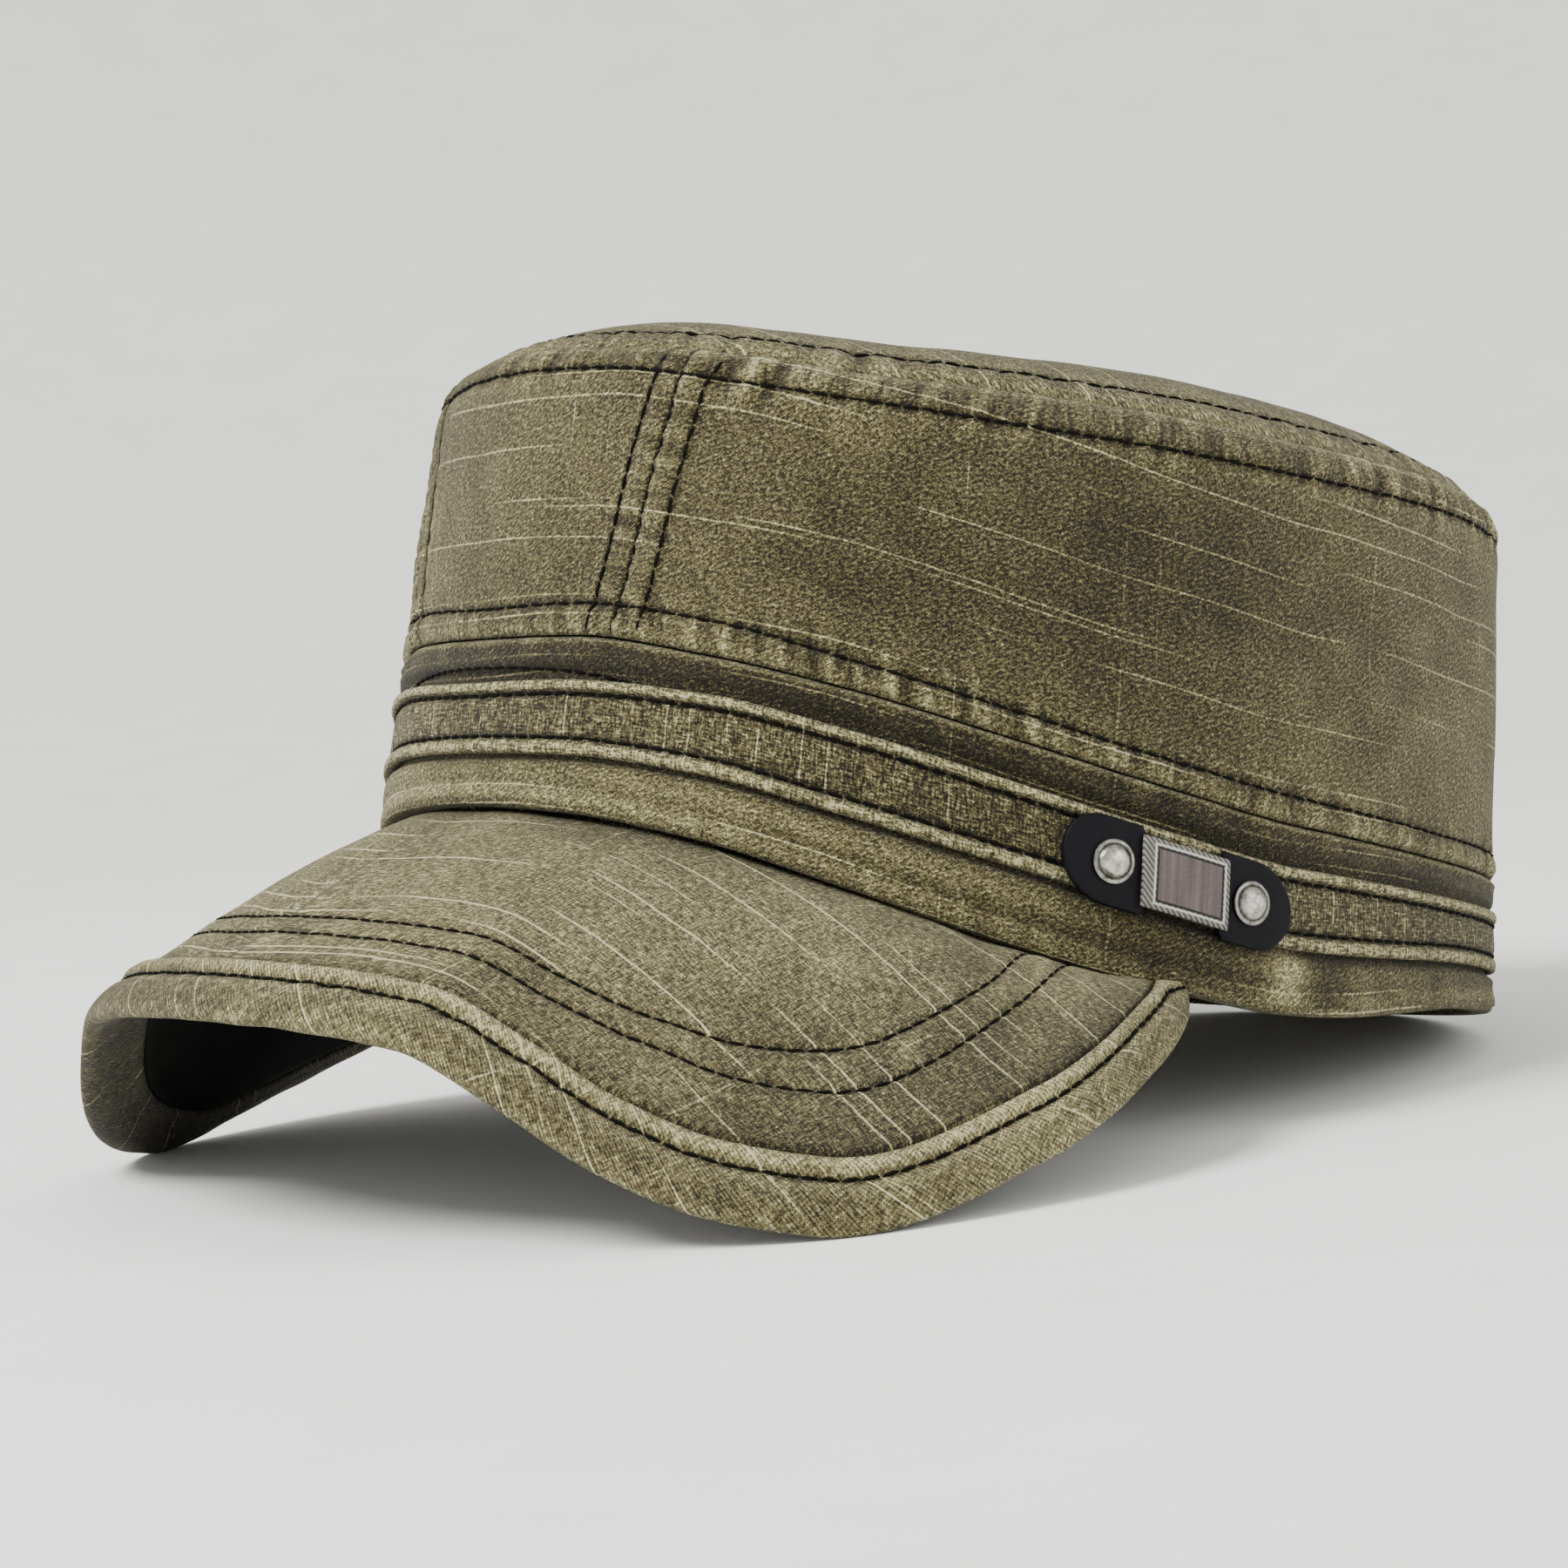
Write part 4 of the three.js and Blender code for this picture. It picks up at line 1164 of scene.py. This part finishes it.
def washed_cotton(
    name, yarn, slub_gap, slub_run, cross_gap,
    turn=0.0, along=True, shift=0.0, plain=True, grains=1.75, slub=0.46, hatch=0.0,
):
    """Olive cotton: yarn width, gap between slubs, their run and gap across, in mm."""
    material, shader, add = new_material(name)
    millimetres = add("Mapping", {
        "Vector": add("UVMap"), "Scale": (1000, 1000, 1000), "Rotation": (0, 0, math.radians(turn)),
    })
    drift = add("TexNoise", {"Vector": millimetres, "Scale": 0.025, "Detail": 1.0}, "Color")
    drift = add("VectorMath", (drift, (0.5, 0.5, 0.5)), operation="SUBTRACT")
    drifted = add("VectorMath", (drift, (2.5, 2.5, 2.5), millimetres), operation="MULTIPLY_ADD")
    split = add("SeparateXYZ", (drifted,)).node
    x, y = split.outputs[0], split.outputs[1]
    if not along:
        x, y = y, x

    def speckle(scale, detail, stretch=(1, 1, 1), angle=0.0):
        """Noise of about -0.2 to 0.2, stretched along one direction."""
        place = add("Mapping", {
            "Vector": millimetres, "Scale": stretch, "Rotation": (0, 0, math.radians(angle)),
        }, vector_type="TEXTURE")
        noise = add("TexNoise", {
            "Vector": place, "Scale": scale, "Detail": detail, "Roughness": 0.65,
        })
        return add("Math", (noise, 0.5), operation="SUBTRACT")

    def yarn_wave(place):
        turned = add("Math", (place, 2 * math.pi / yarn), operation="MULTIPLY")
        return add("Math", (turned,), operation="SINE")

    def blended(value, parts):
        """A value with parts of given amounts added to it."""
        for part, amount in parts:
            if amount:
                value = add("Math", (part, amount, value), operation="MULTIPLY_ADD")
        return value

    def slubs(across, run, spacing, length, width, cut):
        """Thin lines at random gaps, each broken into runs by a stretched noise."""
        cell = add("Math", (across, spacing), operation="DIVIDE")
        distance = add("TexVoronoi", {
            "W": cell, "Scale": 1.0, "Randomness": 1.0,
        }, "Distance", voronoi_dimensions="1D", feature="F1")
        distance = add("Math", (distance, spacing), operation="MULTIPLY")
        line = add("MapRange", (distance, width, width * 0.3), interpolation_type="SMOOTHSTEP")
        place = add("CombineXYZ", (
            add("Math", (run, length), operation="DIVIDE"),
            add("Math", (across, spacing * 0.45), operation="DIVIDE"),
        ))
        strength = add("TexNoise", {"Vector": place, "Scale": 1.0, "Detail": 1.0})
        runs = add("MapRange", (strength, cut, cut + 0.16), interpolation_type="SMOOTHSTEP")
        return add("Math", (line, runs), operation="MULTIPLY")

    warp, weft = yarn_wave(x), yarn_wave(y)
    weave = add("Math", (warp, weft), operation="MULTIPLY")
    flecks = speckle(1.25 / yarn, 2.0)
    if plain:
        flat_yarns = speckle(0.9 / yarn, 1.0, (3.5, 0.8, 1))
        cross_yarns = speckle(0.9 / yarn, 1.0, (0.8, 3.5, 1))
        yarns = add("Math", (flat_yarns, cross_yarns), operation="ADD")
    else:
        yarns = speckle(1.0 / yarn, 1.0, (2.0, 0.8, 1), 30.0)
    grain = blended(flecks, ((yarns, 0.8),))
    lines = slubs(y, x, slub_gap, slub_run, 0.23, 0.42)
    crossing = slubs(x, y, cross_gap, slub_run * 0.3, 0.22, 0.48)
    mottle = blended(speckle(0.035, 2.0), ((speckle(0.16, 2.0), 0.7),))
    # The point's wear and painted shading: washing wear, painted highlights on folds, and painted shade
    # in grooves, in recesses and on the cap's sides.
    wear_and_shading = add("Attribute", output="Fac", attribute_name="wear_and_shading")
    pull = add("Attribute", output="Fac", attribute_name="pull")
    standing = add("Math", (
        speckle(0.8, 2.0, (1.0, 7.0, 1)), add("Math", (pull, 0.0), operation="MAXIMUM"),
    ), operation="MULTIPLY")
    lying = add("Math", (
        speckle(0.8, 2.0, (7.0, 1.0, 1)), add("Math", (pull, 0.0), operation="MINIMUM"),
    ), operation="MULTIPLY")
    streaks = add("Math", (standing, lying), operation="SUBTRACT")
    tone = blended(0.44 + shift, (
        (wear_and_shading, 0.19), (grain, grains), (weft, hatch), (streaks, 0.95), (weave, 0.07),
        (mottle, 0.32), (lines, slub), (crossing, 0.32),
    ))
    colour = add("ValToRGB", {"Fac": tone})
    shade(colour, cotton_shades)
    height = add("Math", (grain, 3.0), operation="MULTIPLY")
    height = blended(height, ((weave, 0.4), (streaks, 2.5), (lines, 0.9), (crossing, 0.7)))
    bump = add("Bump", {"Height": height, "Distance": 0.00022, "Strength": 0.8})
    rough = add("MapRange", {"Value": tone, "To Min": 0.82, "To Max": 0.97})
    connect(shader, colour, rough, bump)
    shader.inputs["Sheen Weight"].default_value = 0.08
    shader.inputs["Specular IOR Level"].default_value = 0.2
    return material


crown_cotton = washed_cotton(
    "washed_cotton_twill", 0.54, 5.5, 50.0, 30.0, shift=-0.03, plain=False, grains=1.5, slub=0.42,
)
band_cotton = washed_cotton(
    "washed_cotton_band", 0.50, 6.0, 9.0, 40.0, along=False, shift=-0.01, grains=1.6,
)
peak_cotton = washed_cotton(
    "washed_cotton_peak", 0.36, 5.0, 42.0, 12.0, shift=0.02, grains=1.3, slub=0.62,
)
bias_cotton = washed_cotton(
    "washed_cotton_bias", 0.54, 7.0, 30.0, 18.0, turn=-45, grains=1.1, slub=0.55, hatch=0.10,
)

# %% [markdown]
# ### Lining, thread, leather and metal
#
# The peak's lower cloth is plain black cotton. The thread is waxed polyester with a
# faint shine. The strap is dyed, waxed leather with a smooth face. The rivets are
# nickel-plated brass, pressed a little uneven and dulled, with dirt in their grooves.


# %% Small materials
def two_shades(
    name, dark, light, pattern_mm, roughness, bump_mm, metallic=0.0, gloss=0.5, tarnish=None,
):
    """Material of two close shades mixed by a noise of a real size."""
    material, shader, add = new_material(name)
    noise = add("TexNoise", {
        "Vector": add("TexCoord", output="Object"), "Scale": 1000 / pattern_mm,
        "Detail": 4.0, "Roughness": 0.6,
    })
    colour = add("ValToRGB", {"Fac": noise})
    shade(colour, ((0.3, dark), (0.7, light)))
    if tarnish:
        dirt = add("Attribute", output="Fac", attribute_name="tarnish")
        colour = add("Mix", {0: dirt, 6: colour, 7: linear(tarnish)}, 2, data_type="RGBA")
    rough = add("MapRange", {
        "Value": noise, "To Min": roughness - 0.08, "To Max": roughness + 0.08,
    })
    bump = add("Bump", {"Height": noise, "Distance": bump_mm * 0.001, "Strength": 0.7})
    connect(shader, colour, rough, bump)
    shader.inputs["Metallic"].default_value = metallic
    shader.inputs["Specular IOR Level"].default_value = gloss
    return material


lining_cotton = two_shades("black_lining_cotton", "#060605", "#100f0d", 0.9, 0.9, 0.15, gloss=0.1)
dark_thread = two_shades("waxed_dark_thread", "#030302", "#0e0b06", 0.6, 0.8, 0.08, gloss=0.1)
olive_thread = two_shades("olive_thread", "#3a3623", "#646047", 0.8, 0.8, 0.08, gloss=0.1)
leather = two_shades("waxed_leather", "#040408", "#0a0a10", 0.7, 0.55, 0.08, gloss=0.13)
nickel = two_shades(
    "brushed_nickel", "#74726a", "#dad8ce", 1.3, 0.24, 0.35, metallic=1.0, tarnish="#15130f",
)

# %% [markdown]
# ### Woven label
#
# The label is woven in greys on a jacquard loom: a bare striped field, a dark line and
# a raised cord round it, and a border of diagonal twill. The real threads are about
# 0.15 mm apart and are drawn 0.55 mm apart. Distances are measured from the field's edge.

# %% Woven label
field_shift, field_half_long, field_half_wide = 0.55, 5.7, 4.1
label_thread, twill_pitch, cord_place = 0.55, 1.0, 0.48
label_cloth, shader, add = new_material("woven_label_cloth")
place = add("Mapping", {"Vector": add("UVMap"), "Scale": (1000, 1000, 1000)})
split = add("SeparateXYZ", (place,)).node
along, across = split.outputs[0], split.outputs[1]
shifted = add("Math", (along, field_shift), operation="SUBTRACT")
past = []
for value, half in ((shifted, field_half_long), (across, field_half_wide)):
    size = add("Math", (value,), operation="ABSOLUTE")
    past.append(add("Math", (size, half), operation="SUBTRACT"))
outside = add("Math", past, operation="MAXIMUM")
border = add("MapRange", (outside, -0.05, 0.05))
field_edge = add("Math", (outside,), operation="ABSOLUTE")
frame_line = add("MapRange", (field_edge, 0.10, 0.24))
cord = add("Math", (outside, cord_place), operation="SUBTRACT")
cord_line = add("MapRange", (add("Math", (cord,), operation="ABSOLUTE"), 0.22, 0.12))

waves = []
diagonal = add("Math", (along, across), operation="ADD")
for value, pitch in ((across, label_thread), (along, label_thread), (diagonal, twill_pitch)):
    turned = add("Math", (value, 2 * math.pi / pitch), operation="MULTIPLY")
    waves.append(add("Math", (turned,), operation="SINE"))
weft, warp, twill = waves
stripe_place = add("Mapping", {"Vector": place, "Scale": (0.9, 0.03, 1)})
stripes = add("TexNoise", {"Vector": stripe_place, "Scale": 1.0, "Detail": 2.0})
field = add("ValToRGB", {"Fac": add("MapRange", (stripes, 0.3, 0.7))})
shade(field, ((0.0, "#463b3b"), (1.0, "#6b5f5e")))
edge = add("ValToRGB", {"Fac": add("Math", (twill, 0.4, 0.5), operation="MULTIPLY_ADD")})
shade(edge, ((0.0, "#0f0e0c"), (1.0, "#8f8d83")))
colour = add("Mix", {0: border, 6: field, 7: edge}, 2, data_type="RGBA")
colour = add("Mix", {0: cord_line, 6: colour, 7: linear("#b9b7ad")}, 2, data_type="RGBA")
colour = add("Mix", {0: frame_line, 6: linear("#0a0808"), 7: colour}, 2, data_type="RGBA")
relief = add("Math", (weft, warp), operation="MULTIPLY")
relief = add("Math", (frame_line, 2.0, relief), operation="MULTIPLY_ADD")
bump = add("Bump", {"Height": relief, "Distance": 0.0001, "Strength": 0.7})
label_cloth.node_tree.links.new(colour, shader.inputs["Base Color"])
label_cloth.node_tree.links.new(bump, shader.inputs["Normal"])
shader.inputs["Roughness"].default_value = 0.8

# %% Dress every piece
finishes = (
    ("top", crown_cotton, "crown_cloth", "crown_top"),
    ("front", crown_cotton, "crown_cloth", "crown_front"),
    ("left", crown_cotton, "crown_cloth", "crown_side_left"),
    ("right", crown_cotton, "crown_cloth", "crown_side_right"),
    ("strip", crown_cotton, "crown_cloth", "lower_crown_strip"),
    ("band", band_cotton, "crown_cloth", "hat_band"),
    ("headband", crown_cotton, "crown_cloth", "head_band"),
    ("peak", peak_cotton, "peak_cloth", "peak_top"),
    ("under", lining_cotton, "under_cloth", "peak_underside"),
    ("binding", bias_cotton, "peak_cloth", "peak_binding"),
    ("strap", leather, "strap_leather", "badge_strap"),
    ("label", label_cloth, "label_weave", "side_label"),
    ("rivet_front", nickel, "rivet_metal", "rivet_front"),
    ("rivet_rear", nickel, "rivet_metal", "rivet_rear"),
    ("crown_thread", dark_thread, None, None),
    ("band_thread", dark_thread, None, None),
    ("peak_thread", dark_thread, None, None),
    ("olive_thread", olive_thread, None, None),
)
for key, material, slot, node in finishes:
    made[key].data.materials.clear()
    made[key].data.materials.append(material)
    if node:
        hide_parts(node)
print("dressed:", len(finishes), "pieces")

# %% [markdown]


# %% [markdown]
# ## Stage, light and camera
#
# The floor is a wide shallow bowl, so that no horizon shows behind the cap. A large
# soft light stands to the camera's upper left, and a weaker one fills from the right.
# The camera looks at the wearer's left front side from just above the peak.

# %% Camera
camera_turn, camera_rise, camera_roll = 52.5, -4.34, 4.63  # degrees, in the cap's frame
camera_distance, focal_pixels, picture_pixels = 721.0, 4722.4, 1800
aim_height, picture_x, picture_y = 55.6, 1103.2, 783.2
turn, rise, roll = (math.radians(value) for value in (camera_turn, camera_rise, camera_roll))
back = np.array((math.sin(turn) * math.cos(rise), -math.cos(turn) * math.cos(rise), math.sin(rise)))
right = np.array((math.cos(turn), math.sin(turn), 0.0))
up = np.cross(back, right)
right_axis = math.cos(roll) * right + math.sin(roll) * up
up_axis = -math.sin(roll) * right + math.cos(roll) * up
scale = camera_distance / focal_pixels
spot = (
    np.array((0, 0, aim_height)) + camera_distance * back
    - (picture_x - picture_pixels / 2) * scale * right_axis
    + (picture_y - picture_pixels / 2) * scale * up_axis
)
tilt = Matrix.Rotation(rest_tilt, 3, "X")
axes = [tilt @ Vector(axis) for axis in (right_axis, up_axis, back)]
bpy.ops.object.camera_add()
camera = bpy.context.object
pose = Matrix(axes).transposed().to_4x4()
pose.translation = Vector(to_world(spot)[0])
camera.matrix_world = pose
camera.data.sensor_width = 36
camera.data.lens = 36 * focal_pixels / picture_pixels
camera.data.clip_start = 0.01
bpy.context.scene.camera = camera
print("camera at", [round(value, 4) for value in pose.translation])

# %% Floor and light
floor_size, floor_flat, floor_curl = 9.0, 0.9, 0.35  # metres, and how fast the bowl rises
bpy.ops.object.select_all(action="DESELECT")
bpy.ops.mesh.primitive_grid_add(x_subdivisions=80, y_subdivisions=80, size=floor_size)
floor = bpy.context.object
floor.name = "pale_floor"
spots = np.empty(len(floor.data.vertices) * 3)
floor.data.vertices.foreach_get("co", spots)
spots = spots.reshape(-1, 3)
away = np.hypot(spots[:, 0], spots[:, 1])
spots[:, 2] = floor_curl * np.clip(away - floor_flat, 0, None) ** 2
floor.data.vertices.foreach_set("co", spots.ravel())
floor.data.update()
bpy.ops.object.shade_smooth()
floor_paper = two_shades("matt_white_paper", "#f2f2f0", "#f7f7f5", 40.0, 0.9, 0.02)
floor.data.materials.append(floor_paper)


def soft_light(name, aside, above, toward, energy, size):
    """Area light placed along the camera's own axes from the cap's middle, in metres."""
    centre = Vector((0, 0, 0.07))  # half way up the cap
    place = centre + axes[0] * aside + Vector((0, 0, 1)) * above + axes[2] * toward
    bpy.ops.object.light_add(type="AREA", location=place)
    lamp = bpy.context.object
    lamp.name = name
    lamp.data.shape = "DISK"
    lamp.data.size = size
    lamp.data.energy = energy
    lamp.rotation_euler = (place - centre).to_track_quat("Z", "Y").to_euler()
    lamp.visible_camera = False  # it lights the cap and never shows as a disc behind it
    return lamp


soft_light("key_light", -0.95, 1.25, 0.55, 44.0, 0.9)
soft_light("fill_light", 1.3, 0.6, 0.9, 7.0, 1.2)
world = bpy.data.worlds.new("pale_studio")
bpy.context.scene.world = world
world.use_nodes = True
world.node_tree.nodes["Background"].inputs["Color"].default_value = linear("#f5f4f2")
world.node_tree.nodes["Background"].inputs["Strength"].default_value = 1.25
